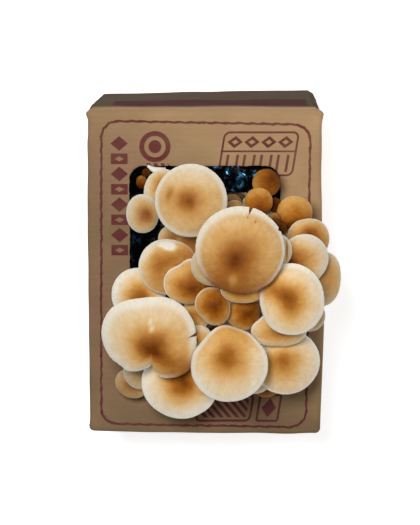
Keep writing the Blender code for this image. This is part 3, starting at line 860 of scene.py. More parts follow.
class GROWKIT_OT_block(bpy.types.Operator):
    """Presses the substrate block, with a tuft of mycelium that has crept out at the window"""

    bl_idname = "growkit.block"
    bl_label = "Block"

    def execute(self, context):
        settings = context.scene.growkit_block
        outline, outward = round_outline(BLOCK_LOW[:2], BLOCK_HIGH[:2], 8 * MM, 50, 70, 8)
        middle = outline.mean(axis=0)
        hole = middle + (outline - middle) * 0.01
        levels = (BLOCK_HIGH[2], BLOCK_LOW[2])
        rings, end = wrapped_rings(hole, outline, outward, levels, (8 * MM, 8 * MM), (60, 8, 20, 6, 8))
        lumps = ripple(rings, 5 * MM, 31) * 0.5 + ripple(rings, 12 * MM, 32) * 0.5
        shown = np.clip((rings[..., 2] - BLOCK_HIGH[2] + 2 * MM) / (2 * MM), 0, 1)
        rings[..., 2] += shown * settings.lumps * (lumps - 0.2)
        start = rings[0].mean(axis=0)
        shape = Shape()
        shape.add(rings, start=start, end=end)
        finish = sawdust(settings)
        stand_for(shape.build("sawdust_block", [finish]), "substrate", "substrate_block")
        tuft = Shape()
        tuft.add(*curled_tuft(BAG_HIGH[2] + 4.2 * MM, 33))
        stand_for(tuft.build("mycelium_tuft", [tuft_finish(settings)]), "substrate", "substrate_block")
        return {"FINISHED"}


def curled_tuft(level, seed):
    """A soft curl at the window's top left: rings round a bent line, thickest towards its right end."""
    bend = np.array([[-36.4, 69.6, -1.6], [-35.4, 67.6, 0.2], [-33.6, 65.6, 0.9], [-30.8, 64.5, 1.0],
                     [-27.6, 64.8, 0.6], [-24.6, 65.4, -0.8]]) * MM + [0.0, 0.0, level]
    rings_along = 40
    line, _ = even_line(bend, rings_along, 0)
    line, at = even_line(line, rings_along, 60)
    swell = 1.35 + 0.55 * bell(at, at[-1] * 0.66, 4.0 * MM) + 0.12 * ripple(line, 2.5 * MM, seed)
    taper = np.sin(np.pi * np.linspace(0.10, 0.90, rings_along)) ** 0.4
    rings, _ = tube(line, swell * MM * taper, 28, 0.05, seed)
    rings = rings + 0.10 * MM * ripple(rings, 1.1 * MM, seed + 1)[..., None]
    return rings, None, line[0], line[-1]


def tuft_finish(settings):
    """The tuft: white threads, dull and slightly see-through."""
    finish = Finish("mycelium_fuzz", Roughness=0.9, Metallic=0.0, Subsurface_Weight=0.1)
    place = finish.place()
    fuzz = finish.noise(place, 1500.0, 4.0, 0.7)
    colour = finish.dim(tuple(settings.mycelium), 0.85 + fuzz * 0.3)
    return finish.wear(Base_Color=colour, Normal=finish.bump(fuzz, 0.25 * MM))


# The caps
@dataclass
class Cut:
    """A place where a cap's margin is drawn in, to a depth that is a share of the radius.

    Its widths in degrees run clockwise before its direction and anticlockwise after it. A split keeps the
    surface as it is and opens it near the margin. A tuck shortens the whole way to the margin.
    """

    direction: float
    depth: float
    before: float
    after: float
    before_power: float = 1.0
    after_power: float = 1.0
    split: bool = True


@dataclass
class Mark:
    """A pale (above 0) or dark (below 0) smear at a direction and share of the radius, sizes in mm. On
    cap_24 the pair draws an inner margin, the dark one as its painted shadow.
    """

    direction: float
    share: float
    inward: float
    sideways: float
    strength: float


@dataclass
class Look:
    """A cap's colours and own marks.

    crown and hem are places on the scale of colours, 0 the darkest brown to 1 the palest, that the
    middle and the margin have. Between them the place rises as a bell curve falls, and a small spread
    keeps the brown near the middle. Sides are directions, widths in degrees and changes of that place
    there; the darker ones are partly the skin's own browner colour and partly painted shade where the cap
    lies under or beside a higher one. Dents are directions, widths and changes of the radius. The margin
    is a share of the radius, and rims are directions, widths and changes of it there, as a share of
    itself. grey is how greyed the whole cap is, and light how bright; below 1 it paints in the shade on
    caps deep in the bunch. fringe is how ragged its margin is.
    """

    crown: float = 0.15
    hem: float = 0.60
    margin: float = 0.05
    grey: float = 0.0
    sides: tuple = ()
    dents: tuple = ()
    cuts: tuple = ()
    marks: tuple = ()
    rims: tuple = ()
    fringe: float = 0.15
    spread: float = 1.0
    light: float = 1.0


# Sides below 0 are in part painted shade where a cap lies under or beside a higher one, and light below 1
# is painted shade on caps deep in the bunch.
LOOKS = {
    "cap_01": Look(
        -0.02, 0.64, 0.11, 0.3,
        sides=((245, 42, -0.44), (185, 28, -0.10), (0, 45, -0.06), (300, 35, -0.26)),
        cuts=(Cut(76, 0.16, 2.6, 2.2), Cut(29, 0.035, 4, 2)),
        marks=(
            Mark(256, 0.62, 10.0, 5.5, 0.36), Mark(78, 0.80, 1.2, 1.2, -0.7),
            Mark(63, 0.77, 1.6, 1.0, -0.7), Mark(84, 0.86, 2.5, 1.2, 0.4),
        ),
        rims=((5, 55, -0.55), (110, 50, 0.25)),
        spread=0.50, light=0.91,
    ),
    "cap_02": Look(
        0.08, 0.64, 0.10, 0.3,
        sides=((90, 60, 0.20), (5, 45, -0.06), (300, 45, -0.06)),
        marks=(Mark(164, 0.64, 10.0, 16.0, -0.35), Mark(158, 0.60, 4.0, 9.0, -0.38)),
        spread=0.38, light=0.90,
    ),
    "cap_03": Look(
        -0.02, 0.80, 0.13, 0.2,
        sides=((100, 50, 0.04), (316, 34, -0.60), (200, 40, 0.10), (20, 30, -0.14)),
        dents=((292, 9, -0.045),),
        cuts=(
            Cut(274, 0.36, 37, 24, 1.15, 2.6, split=False), Cut(2, 0.20, 2.4, 2.6),
            Cut(262, 0.05, 5, 5),
        ),
        marks=(
            Mark(63, 0.23, 5.0, 3.0, 0.55), Mark(80, 0.36, 5.0, 2.4, 0.45),
            Mark(104, 0.84, 1.0, 1.0, -0.9), Mark(112, 0.82, 0.9, 0.9, -0.8),
        ),
        rims=((130, 60, 0.30),),
        fringe=0.32, spread=0.50, light=0.91,
    ),
    "cap_04": Look(
        0.20, 0.86, 0.10, 0.1,
        sides=((150, 40, -0.20), (75, 50, -0.42)),
        dents=((41, 16, -0.045), (134, 22, -0.080), (76, 18, -0.065)),
        marks=(Mark(322, 0.78, 3.0, 6.0, 0.25),),
        rims=((85, 50, -0.65),),
        spread=0.58,
    ),
    "cap_05": Look(
        0.06, 0.84, 0.10, 0.1,
        sides=((270, 35, -0.10), (145, 38, -0.60)),
        dents=((0, 25, -0.02), (180, 25, -0.015), (233, 25, 0.05)),
        spread=0.50,
    ),
    "cap_06": Look(0.24, 0.84, 0.08, 0.1, sides=((270, 40, -0.10), (190, 40, -0.36)), spread=0.60),
    "cap_07": Look(0.02, 0.98, 0.09, 0.1, sides=((90, 50, -0.40),), spread=0.66, light=1.05),
    "cap_08": Look(
        0.22, 0.72, 0.07, 0.2,
        sides=((15, 45, -0.36), (150, 50, 0.10), (270, 50, -0.24)),
        marks=(
            Mark(78, 0.77, 5.0, 8.6, 1.5), Mark(100, 0.82, 2.6, 5.5, 0.7),
            Mark(142, 0.86, 6.5, 17.0, 0.42),
        ),
        rims=((35, 40, -0.60), (160, 50, 0.60)),
        spread=0.80, light=0.97,
    ),
    "cap_09": Look(0.02, 0.64, 0.05, 0.1, sides=((250, 60, 0.08), (345, 60, -0.44))),
    "cap_10": Look(0.36, 0.80, 0.06, 0.5, sides=((0, 60, -0.25),), light=0.87),
    "cap_11": Look(
        0.00, 0.54, 0.05, 0.0,
        sides=((240, 45, 0.16), (60, 60, -0.25)),
        dents=((225, 25, -0.07), (294, 34, 0.10)),
        spread=1.4, light=0.95,
    ),
    "cap_12": Look(
        0.00, 0.50, 0.05, 0.0,
        sides=((220, 50, 0.10), (20, 60, -0.25)),
        dents=((208, 20, 0.10),),
        spread=1.4, light=0.95,
    ),
    "cap_13": Look(0.25, 0.62, 0.06, 0.0, sides=((90, 70, -0.25),), dents=((270, 60, 0.07),)),
    "cap_14": Look(0.14, 0.94, 0.06, 0.1, sides=((150, 60, 0.06),)),
    "cap_15": Look(
        0.08, 0.80, 0.08, 0.7,
        sides=((180, 70, 0.06), (330, 45, -0.20)),
        spread=0.80, light=0.92,
    ),
    "cap_16": Look(0.14, 0.76, 0.05, 0.2, sides=((170, 60, 0.12), (330, 60, -0.30)), light=0.96),
    "cap_17": Look(0.02, 0.28, 0.00, 0.0, sides=((30, 60, -0.25), (190, 70, 0.16)), light=0.85),
    "cap_18": Look(0.06, 0.38, 0.00, 0.0, sides=((265, 60, -0.45), (100, 70, 0.10))),
    "cap_19": Look(
        0.18, 0.44, 0.00, 0.0,
        sides=((270, 70, -0.60), (95, 80, 0.12)),
        dents=((82, 44, -0.09),),
    ),
    "cap_20": Look(
        0.04, 0.70, 0.05, 0.2,
        sides=((210, 50, -0.22), (325, 50, -0.20)),
        dents=((92, 34, -0.07),),
        rims=((140, 60, -0.50),),
        spread=0.85, light=0.93,
    ),
    "cap_21": Look(0.22, 0.88, 0.06, 0.3, sides=((205, 62, -1.30), (60, 70, 0.04)), light=0.94),
    "cap_22": Look(0.34, 0.74, 0.05, 0.5, sides=((170, 50, -0.15),), spread=1.2, light=0.99),
    "cap_23": Look(0.30, 0.80, 0.05, 0.4, light=0.90),
    "cap_24": Look(
        0.30, 0.80, 0.06, 0.0,
        # A pale line and a painted shadow beside it draw a second margin inside this one.
        marks=(Mark(0, 0.56, 1.0, 18.0, 0.6), Mark(0, 0.65, 1.2, 18.0, -0.8)),
        light=1.02,
    ),
    "cap_25": Look(
        0.24, 0.76, 0.05, 0.1,
        sides=((95, 60, -0.30),),
        dents=((152, 15, -0.09),),
        light=0.97,
    ),
    "cap_26": Look(0.28, 0.66, 0.04, 0.1, light=0.95),
    "cap_27": Look(0.40, 0.80, 0.05, 0.1, sides=((190, 60, -0.25),), light=0.97),
    "cap_28": Look(0.20, 0.50, 0.00, 0.4, sides=((90, 60, -0.20),), light=0.90),
    "cap_29": Look(0.20, 0.76, 0.06, 0.6, light=0.90),
    "cap_30": Look(0.22, 0.60, 0.03, 0.8, light=0.84),
    "cap_31": Look(0.50, 0.78, 0.05, 1.0, sides=((80, 60, -0.25),), light=0.88),
    "cap_32": Look(0.45, 0.92, 0.06, 0.3, light=0.95),
    "cap_33": Look(0.10, 0.36, 0.00, 0.2, light=0.75),
    "cap_34": Look(
        0.06, 0.22, 0.00, 0.0,
        sides=((90, 80, 0.15), (270, 70, -0.3)),
        fringe=0.0, light=0.8,
    ),
    "cap_35": Look(-0.05, 0.10, 0.00, fringe=0.0, light=0.6),
    "cap_37": Look(0.20, 0.50, 0.03, 0.8, fringe=0.0, light=0.7),
    "cap_38": Look(0.28, 0.60, 0.03, 0.3, fringe=0.0, light=0.85),
    "cap_39": Look(0.10, 0.40, 0.00, 0.3, fringe=0.0, light=0.7),
}
# Young caps lie deep in the bunch, and their light of 0.5 paints in that shade.
YOUNG_LOOK = Look(-0.05, 0.12, 0.0, fringe=0.0, light=0.5)
LARGE_CAP = 15.0 * MM
RINGED_CAP = 12 * MM
YOUNG_CAP = 7.5 * MM
RIM_STEPS = 1440
LIP_ROWS = 8
SAME_WAY = 1 - 1e-6


def merged_solid(node):
    """A node's loose triangles with their doubles merged, as a bmesh that the caller frees."""
    solid = bmesh.new()
    solid.from_mesh(frame["nodes"][node].data)
    bmesh.ops.remove_doubles(solid, verts=solid.verts, dist=0.001 * MM)
    solid.normal_update()
    return solid


def closed_spline(points, count):
    """A smooth closed curve through complex points: a cubic B-spline.

    Each point is a sixth of its control point four times over and the two beside it, which a Fourier
    transform solves. The curve is then read at count even steps.
    """
    share = FULL_TURN * np.arange(len(points)) / len(points)
    control = np.fft.ifft(np.fft.fft(points) * 6 / (4 + 2 * np.cos(share)))
    at = np.arange(count) * len(points) / count
    first = at.astype(int)
    f = at - first
    weights = ((1 - f) ** 3, 3 * f**3 - 6 * f**2 + 4, -3 * f**3 + 3 * f**2 + 3 * f + 1, f**3)
    return sum(w * control[(first + k - 1) % len(points)] for k, w in enumerate(weights)) / 6


class CapSolid:
    """A cap as its solid gives it: its axis, crown and rim, and the flat seat for its stem.

    The seat's triangles are the most that face one way, and the axis is against them. The crown is the
    highest point along the axis and the rim is the level of the point farthest from it. seat is the
    seat's height above the rim, and lip how far the margin hangs below the rim.
    """

    def __init__(self, node):
        solid = merged_solid(node)
        points = np.array([vertex.co[:] for vertex in solid.verts])
        normals = np.array([face.normal[:] for face in solid.faces])
        middles = np.array([face.calc_center_median()[:] for face in solid.faces])
        solid.free()
        self.axis = -normals[np.argmax((normals @ normals.T > SAME_WAY).sum(axis=1))]
        self.east = unit(np.array([1.0, 0.0, 0.0]) - self.axis * self.axis[0])
        self.north = np.cross(self.axis, self.east)
        along = points @ self.axis
        crown = points[np.argmax(along)]
        level = along - crown @ self.axis
        reach = np.linalg.norm(points - crown - np.outer(level, self.axis), axis=1)
        widest = level[np.argmax(reach)]
        rim = points[np.abs(level - widest) < SAME_LEVEL]
        self.centre = rim.mean(axis=0)
        self.height = -widest
        self.umbo = self.flat(crown)
        self.rim = np.array([self.flat(point) for point in rim])
        self.radius = float(np.abs(self.rim).mean())
        self.seat_radius = 0.9 * MM + 0.125 * self.radius
        seat_middle = middles[np.argmax(normals @ self.axis < -SAME_WAY)]
        self.seat = float((seat_middle - self.centre) @ self.axis)
        lowest = float(level.min() - widest)
        fade = 0.28
        self.lip = max((self.seat * fade - lowest) / (1 - fade), 0.5 * MM)

    def flat(self, point):
        """A point's place in the rim's plane, east and north of its centre, as a complex number."""
        return complex((point - self.centre) @ self.east, (point - self.centre) @ self.north)

    def reach(self, angles, cuts):
        """The rim's distance from the centre in each direction, bridged where a tuck makes a notch."""
        curve = closed_spline(self.rim[np.argsort(np.angle(self.rim))], RIM_STEPS)
        for cut in cuts:
            if not cut.split:
                off = np.degrees(turned(np.angle(curve), cut.direction))
                curve = curve[(off < -cut.before) | (off > cut.after)]
        return np.interp(angles, np.angle(curve), np.abs(curve), period=FULL_TURN)

    def to_world(self, plan, height):
        """Points of the rim's plane, raised along the axis."""
        return (self.centre + plan.real[..., None] * self.east + plan.imag[..., None] * self.north
                + height[..., None] * self.axis)

    def top(self, share):
        """Height above the rim at a share of the way out: the crown's times (1 - share^2.2)^0.75."""
        return self.height * np.clip(1 - share**2.2, 0, 1) ** 0.75

    def under(self, share):
        """Height of the gills' edges: from the seat it falls with the square of the share to the lip."""
        inner = (self.seat_radius / self.radius) ** 2
        return (self.seat + self.lip) * (1 - share**2) / (1 - inner) - self.lip


def column_angles(count, cuts):
    """Directions round a cap, even but closer together at its cuts.

    They share out evenly the sum of a density of 1 and a bell curve at each cut.
    """
    fine = np.linspace(0, FULL_TURN, 5 * RIM_STEPS + 1)
    density = np.ones_like(fine)
    for cut in cuts:
        width = math.radians(max(cut.before, cut.after, 2.0))
        density += min(6.0, 0.5 / width) * np.exp(-((turned(fine, cut.direction) / (1.3 * width)) ** 2))
    total = np.concatenate(([0.0], np.cumsum((density[1:] + density[:-1]) / 2)))
    return np.interp(np.arange(count) * total[-1] / count, total, fine)


def cut_depth(angles, cuts, split):
    """How deep the cuts are in each direction: their depth times a power of the way left to the edge."""
    deepest = np.zeros_like(angles)
    for cut in cuts:
        if cut.split == split:
            off = np.degrees(turned(angles, cut.direction))
            width = np.where(off < 0, cut.before, cut.after)
            power = np.where(off < 0, cut.before_power, cut.after_power)
            deepest = np.maximum(deepest, cut.depth * np.clip(1 - np.abs(off) / width, 0, 1) ** power)
    return deepest


def bells_round(angles, changes):
    """The sum of bell curves round a cap, each from a direction, a width in degrees and a height."""
    total = np.zeros_like(angles)
    for direction, width, height in changes:
        total += height * bell(turned(angles, direction), 0, math.radians(width))
    return total


def cap_rim(solid, look, angle, around, seed):
    """The rim in each direction, as complex numbers: the solid's, uneven, with its dents and tucks."""
    uneven = 0.006 * ripple(around, 1.4, seed) + 0.0035 * ripple(around, 0.35, seed + 1)
    uneven += bells_round(angle, look.dents)
    uneven += look.fringe * 0.010 * ripple(around, 0.09, seed + 2, 16)
    reach = solid.reach(angle, look.cuts) * (1 + uneven) * (1 - cut_depth(angle, look.cuts, False))
    return reach * np.exp(1j * angle)


def gill_valleys(share, columns, rng):
    """How deep the underside goes up between the gills at each share and column, 0 at a gill's edge.

    Every fourth column is a whole gill's edge. Half-way between two is a short gill, which begins at a
    random share of the way out.
    """
    column = np.arange(columns) % 4
    short = 1 - np.clip((share - rng.uniform(0.45, 0.75, columns)) * 8, 0, 1)
    return np.where(column == 0, 0.0, np.where(column == 2, short, 1.0))


def cap_traits(solid, look, angle, rim, shares, plans, valley, seed):
    """What the cap's materials read at each point.

    disc is the way out and the share of it, tint the place on the scale of colours, the marks and the
    gills' valleys, margin the distance to the rim, the margin's width and the light factor, which
    paints in shade, and own the cap's seed and greyness. The place on the scale goes from crown to hem
    with 1 - exp(-(share/spread)^1.6).
    """
    around = np.stack([np.cos(angle), np.sin(angle)], axis=-1)
    toward = np.broadcast_to(around, plans.shape + (2,))
    rise = 1 - np.exp(-((np.clip(shares, 0, 1) / look.spread) ** 1.6))
    tint = look.crown + (look.hem - look.crown) * rise / (1 - math.exp(-(look.spread**-1.6)))
    tint = tint + bells_round(angle, look.sides) * shares
    wide = np.full(plans.shape, look.margin)
    for change in look.rims:
        wide *= 1 + bells_round(angle, [change])
    near = (1 - shares) * (0.4 + 0.6 * np.abs(rim - solid.umbo) / solid.radius)
    return {
        "disc": np.concatenate([toward, shares[..., None]], axis=-1),
        "tint": np.stack([tint, marks_on(plans, solid, look.marks), valley], axis=-1),
        "margin": np.stack([near, wide, np.full(plans.shape, look.light)], axis=-1),
        "own": np.broadcast_to([seed * 7.31, look.grey], plans.shape + (2,)),
    }


def cap_shape(solid, look, gills, margin, seed):
    """A cap: its domed top, round lip and gilled underside on one grid of rings and columns.

    Columns are directions from the rim's centre and rings are shares of the way from the umbo to the
    rim, where a point is (1 - share) of the umbo plus share of the rim. The lip is half an oval. Gills
    are ridges at every fourth column, with short ones between them near the rim.
    """
    rng = np.random.default_rng(seed)
    young = solid.radius < YOUNG_CAP
    rows = 26 if young else 44 if solid.radius > LARGE_CAP else 34
    below_rows = 10 if young else 24
    columns = 96 if young else 4 * gills
    angle = column_angles(columns, look.cuts)
    around = np.stack([np.cos(angle), np.sin(angle)], axis=-1)
    rim = cap_rim(solid, look, angle, around, seed)
    waves = 0.020 * solid.radius * ripple(around, 1.1, seed + 3) * (0.3 if young else 1.0)

    def raised(shares, heights):
        """Points at these shares and heights on the uneven surface: their plan and their places."""
        plan = solid.umbo * (1 - shares) + rim * shares
        spots = np.stack([plan.real, plan.imag], axis=-1)
        bumps = 0.006 * solid.radius * ripple(spots, 0.55 * solid.radius, seed + 4)
        bumps = bumps * np.sin(np.pi * np.clip(shares, 0, 1)) ** 0.5
        return plan, solid.to_world(plan, heights + waves * shares**3 + bumps)

    step = np.linspace(0, 1, rows + 1)[1:, None]
    share = 1 - (1 - step) ** 1.35
    top_share = share * (1 - cut_depth(angle, look.cuts, True) * share**6)
    edge = top_share[-1:]
    width = np.clip(max(margin, solid.lip * 0.9) / solid.radius, 0.03, 0.13)
    turn = np.linspace(0, np.pi, LIP_ROWS + 1)[1:, None]
    over = (1 - np.cos(turn)) / 2
    lip_share = edge - width * over + 0.35 * width * np.sin(turn)
    lip_height = solid.top(edge) * (1 - over) + solid.under(edge - width) * over
    lip_height = lip_height - 0.25 * solid.lip * np.sin(turn)
    inner = solid.seat_radius / solid.radius * 0.8
    fall = np.linspace(0, 1, below_rows + 1)[1:, None] ** 0.9
    below_share = (edge - width) * (1 - fall) + inner * fall
    edges = solid.under(below_share)
    depth = 0.62 * (solid.top(below_share) - edges) * (0 if young else 1)
    fade = np.clip(fall * 5, 0, 1) * np.clip((below_share - inner) * 12, 0, 1)
    valley = gill_valleys(below_share, columns, rng) * fade
    parts = [
        raised(top_share, solid.top(top_share)),
        raised(lip_share, lip_height),
        raised(below_share, edges + depth * valley),
    ]
    plans, rings = (np.concatenate(part) for part in zip(*parts))
    shares = np.concatenate([top_share, np.ones_like(lip_share), below_share])
    valley = np.concatenate([np.zeros((rows + LIP_ROWS, columns)), valley])
    traits = cap_traits(solid, look, angle, rim, shares, plans, valley, seed)
    slots = np.repeat([0, 1], [rows + LIP_ROWS - 1, below_rows + 2])
    crown = solid.to_world(np.array(solid.umbo), np.array(solid.height))
    seat = solid.to_world(np.array(solid.umbo), np.array(solid.seat))
    shape = Shape()
    shape.add(rings, traits, start=crown, end=seat, slots=slots)
    return shape


def marks_on(plan, solid, marks):
    """The sum of the marks at each point, each an oval: its strength times exp(-reach^3)."""
    total = np.zeros(plan.shape)
    for mark in marks:
        way = np.exp(1j * math.radians(mark.direction))
        off = (plan - way * mark.share * solid.radius) / way
        reach = np.hypot(off.real / (mark.inward * MM / 2), off.imag / (mark.sideways * MM / 2))
        total += mark.strength * np.exp(-(reach**3))
    return total


def cap_skin(settings):
    """The cap's skin: a scale of colours from crown to margin, broken up by clouds and silky streaks.

    Each cap's light factor dims it as painted shade, and the very rim is painted 7 percent lighter as a
    highlight.
    """
    finish = Finish(
        "cap_skin_silky",
        Metallic=0.0,
        Specular_IOR_Level=0.06,
        Subsurface_Weight=0.06,
        Subsurface_Radius=(1.0, 0.55, 0.25),
        Subsurface_Scale=1.2 * MM,
    )
    way_x, way_y, share = finish.split(finish.trait("disc"))
    place, mark, _ = finish.split(finish.trait("tint"))
    near, margin, light = finish.split(finish.trait("margin"))
    seed, grey, _ = finish.split(finish.trait("own"))
    flat_x, flat_y = way_x * share, way_y * share
    streak = finish.noise(finish.join(way_x * 7.0, way_y * 7.0, share * 1.3 + seed), 3.6, 4.0, 0.62) - 0.5
    cloud = finish.noise(finish.join(flat_x, flat_y, seed), 1.7, 3.0, 0.55) - 0.5
    blotch = finish.noise(finish.join(flat_x, flat_y, seed + 3.0), 6.5, 4.0, 0.62) - 0.5
    fleck = finish.noise(finish.join(flat_x, flat_y, seed), 30.0, 2.0, 0.6) - 0.5
    outer = share * share
    at = place + cloud * 0.26 + blotch * 0.14 + streak * outer * 0.22 + mark * 0.42
    colour = tuple(settings.crown)
    scale = ((0.0, 0.25, settings.brown), (0.25, 0.50, settings.tan), (0.50, 0.70, settings.cream),
             (0.70, 0.96, settings.rim))
    for low, high, paler in scale:
        colour = finish.blend(at.rise(low, high, "LINEAR"), colour, tuple(paler))
    chalk = 1 - (near + (blotch + streak) * 0.06).rise(margin * 0.3, margin * 1.5 + 0.01)
    chalk = chalk * margin.rise(0.0, 0.06) * place.rise(0.20, 0.60)
    colour = finish.blend(chalk * 0.90, colour, tuple(settings.rim))
    colour = finish.blend(grey * at.rise(-0.05, 0.50) * 0.35, colour, (0.30, 0.28, 0.22))
    shade = 1.0 + streak * outer * 0.20 + blotch * 0.16 + fleck * 0.16
    # Painted shade and light: the cap's light factor darkens caps deep in the bunch, and a painted
    # highlight lifts the very rim by 7 percent.
    shade = shade * light * (1.07 - near.rise(-0.01, 0.03) * 0.07)
    ridge = finish.noise(finish.join(way_x * 22.0, way_y * 22.0, share * 0.6 + seed), 3.6, 1.0) - 0.5
    ridge = ridge * (1 - near.rise(0.02, 0.16))
    shade = shade * (1 + ridge * 0.35)
    relief = streak * outer * 0.6 + fleck * 0.5 + blotch + ridge * 0.9
    return finish.wear(
        Base_Color=finish.dim(colour, shade),
        Roughness=0.60 + fleck * 0.2,
        Normal=finish.bump(relief, 0.30 * MM, 0.6),
    )


def cap_gills(settings):
    """The underside: pale gill edges with painted shade between them, and clouds of lighter and darker."""
    finish = Finish("cap_gills_pale", Roughness=0.8, Metallic=0.0, Specular_IOR_Level=0.2)
    way_x, way_y, share = finish.split(finish.trait("disc"))
    valley = finish.split(finish.trait("tint"))[2]
    seed = finish.split(finish.trait("own"))[0]
    cloud = finish.noise(finish.join(way_x * share, way_y * share, seed), 3.0, 3.0)
    # Painted shade: the valleys between the gills are darkened by up to 42 percent.
    shade = 1.08 - valley * 0.42 + (cloud - 0.5) * 0.25
    return finish.wear(Base_Color=finish.dim(tuple(settings.gill), shade))


class GROWKIT_OT_caps(bpy.types.Operator):
    """Grows the caps, each in place of its solid"""

    bl_idname = "growkit.caps"
    bl_label = "Caps"

    def execute(self, context):
        settings = context.scene.growkit_caps
        finishes = [cap_skin(settings), cap_gills(settings)]
        for number, node in enumerate(CAP_NODES):
            solid = CapSolid(node)
            gills = settings.gills if solid.radius > LARGE_CAP else settings.gills * 2 // 3
            look = LOOKS.get(node, YOUNG_LOOK)
            shape = cap_shape(solid, look, gills, settings.margin, 100 + 10 * number)
            stand_for(shape.build("grown_" + node, finishes), "cap_skin", node)
        return {"FINISHED"}


# The stems
def stem_line(tree, solid):
    """The middle line of the stem under a cap, found inside the bunch's solid.

    From the seat it steps down the axis. At each step rays go out sideways, and the middle of where they
    meet the stem's sides becomes the line's next point and gives its next heading.
    """
    heading = Vector(-solid.axis)
    start = Vector(solid.to_world(np.array(solid.umbo), np.array(solid.seat)))
    centre = start + heading * 1.2 * MM
    line = [start - heading * 1.5 * MM, start, centre.copy()]
    floor = BLOCK_HIGH[2] + 3 * MM
    while centre.z > floor and len(line) < 160:
        centre = centre + heading * 1.4 * MM
        side = heading.orthogonal().normalized()
        hits = []
        for turn in range(16):
            ray = Quaternion(heading, turn * math.pi / 8) @ side
            hit = tree.ray_cast(centre, ray, 2.2 * solid.seat_radius)[0]
            if hit:
                hits.append(hit)
        if len(hits) > 11:
            middle = sum(hits, Vector()) / len(hits)
            off = middle - centre
            centre = centre + (off - heading * off.dot(heading)) * 0.7
        heading = heading.lerp((centre - line[-1]).normalized(), 0.35).normalized()
        line.append(centre.copy())
    return np.array(line)


def even_line(line, count, rounds=14):
    """A line smoothed by moving each point to between its neighbours, then read at even steps."""
    line = line.copy()
    for _ in range(rounds):
        line[1:-1] += 0.5 * ((line[:-2] + line[2:]) / 2 - line[1:-1])
    length = np.concatenate(([0.0], np.cumsum(np.linalg.norm(np.diff(line, axis=0), axis=1))))
    at = np.linspace(0, length[-1], count)
    return np.stack([np.interp(at, length, line[:, axis]) for axis in range(3)], axis=-1), at


def line_frames(line):
    """Two directions square to a line at each of its points, turning as little as they can."""
    along = unit(np.gradient(line, axis=0))
    first = np.empty_like(line)
    side = unit(np.cross(along[0], [0.31, 0.95, 0.0]))
    for index, way in enumerate(along):
        side = unit(side - way * (side @ way))
        first[index] = side
    return along, first, np.cross(first, along)


def tube(line, radii, sides, ridges, seed):
    """Rings round a line: circles of these radii with ridges along them, which twist slowly."""
    rng = np.random.default_rng(seed)
    _, first, second = line_frames(line)
    angle = np.linspace(0, FULL_TURN, sides, endpoint=False)[None, :]
    down = np.linspace(0, 1, len(line))[:, None]
    bumps = np.zeros((len(line), sides))
    for waves in (2, 3, 5, 7, 9):
        twist = rng.uniform(0, FULL_TURN) + rng.uniform(-3, 3) * down
        bumps += np.sin(waves * angle + twist) / waves**0.5
    radius = radii[:, None] * (1 + ridges * bumps)
    rings = (line[:, None] + first[:, None] * (radius * np.cos(angle))[..., None]
             + second[:, None] * (radius * np.sin(angle))[..., None])
    return rings, np.broadcast_to(angle, bumps.shape)


def collar(line, at, radius, sides, seed):
    """The ring left by the veil: a thin skirt round the stem that flares as it hangs, with a ragged hem.

    Its rings go out along its upper side and back along its lower one, at distances and falls that are
    shares of the stem's radius.
    """
    along, first, second = line_frames(line)
    rng = np.random.default_rng(seed)
    index = int(np.searchsorted(at, rng.uniform(8, 11) * MM + radius))
    index = min(index, len(line) - 6)
    angle = np.linspace(0, FULL_TURN, sides, endpoint=False)
    ragged = 0.22 * np.sin(3 * angle + rng.uniform(0, 6))
    ragged += 0.12 * np.sin(7 * angle + rng.uniform(0, 6))
    out = np.array([0.85, 1.06, 1.22, 1.38, 1.52, 1.55, 1.45, 1.28, 1.10, 0.85])
    fall = np.array([-0.35, -0.20, 0.10, 0.50, 0.95, 1.05, 0.95, 0.62, 0.25, -0.05])
    hem = np.clip(out - 1, 0, 1)[:, None] * ragged[None, :]
    reach = radius * (out[:, None] + 0.6 * hem)
    drop = radius * (fall[:, None] + 1.4 * hem)
    return (line[index] + first[index] * (reach * np.cos(angle))[..., None]
            + second[index] * (reach * np.sin(angle))[..., None] + along[index] * drop[..., None])


def foot_mound(node, seed):
    """The lump in which a bunch's stems join: a low dome with knobs, over the foot of its solid."""
    points = node_points(node)
    low = points[:, 2].min()
    foot = points[points[:, 2] < low + SAME_LEVEL, :2]
    middle = (foot.min(axis=0) + foot.max(axis=0)) / 2
    radius = np.linalg.norm(foot - middle, axis=1).max()
    angle = np.linspace(0, FULL_TURN, 72, endpoint=False)[None, :]
    rise = np.linspace(np.pi / 2, 0, 26)[1:, None]
    plan = np.stack([np.cos(rise) * np.cos(angle), np.cos(rise) * np.sin(angle)], axis=-1)
    height = np.broadcast_to(np.sin(rise)[..., None], plan.shape[:2] + (1,))
    ball = np.concatenate([plan, height], axis=-1)
    swell = 1.10 + 0.10 * ripple(ball, 0.55, seed) + 0.05 * ripple(ball, 0.2, seed + 1)
    rings = ball * np.array([radius, radius, radius * 1.1]) * swell[..., None]
    rings = rings + np.array([*middle, low - 0.5 * MM])
    top = rings[0].mean(axis=0) + np.array([0, 0, 0.1 * MM])
    return rings, top, np.array([*middle, low - 0.5 * MM])


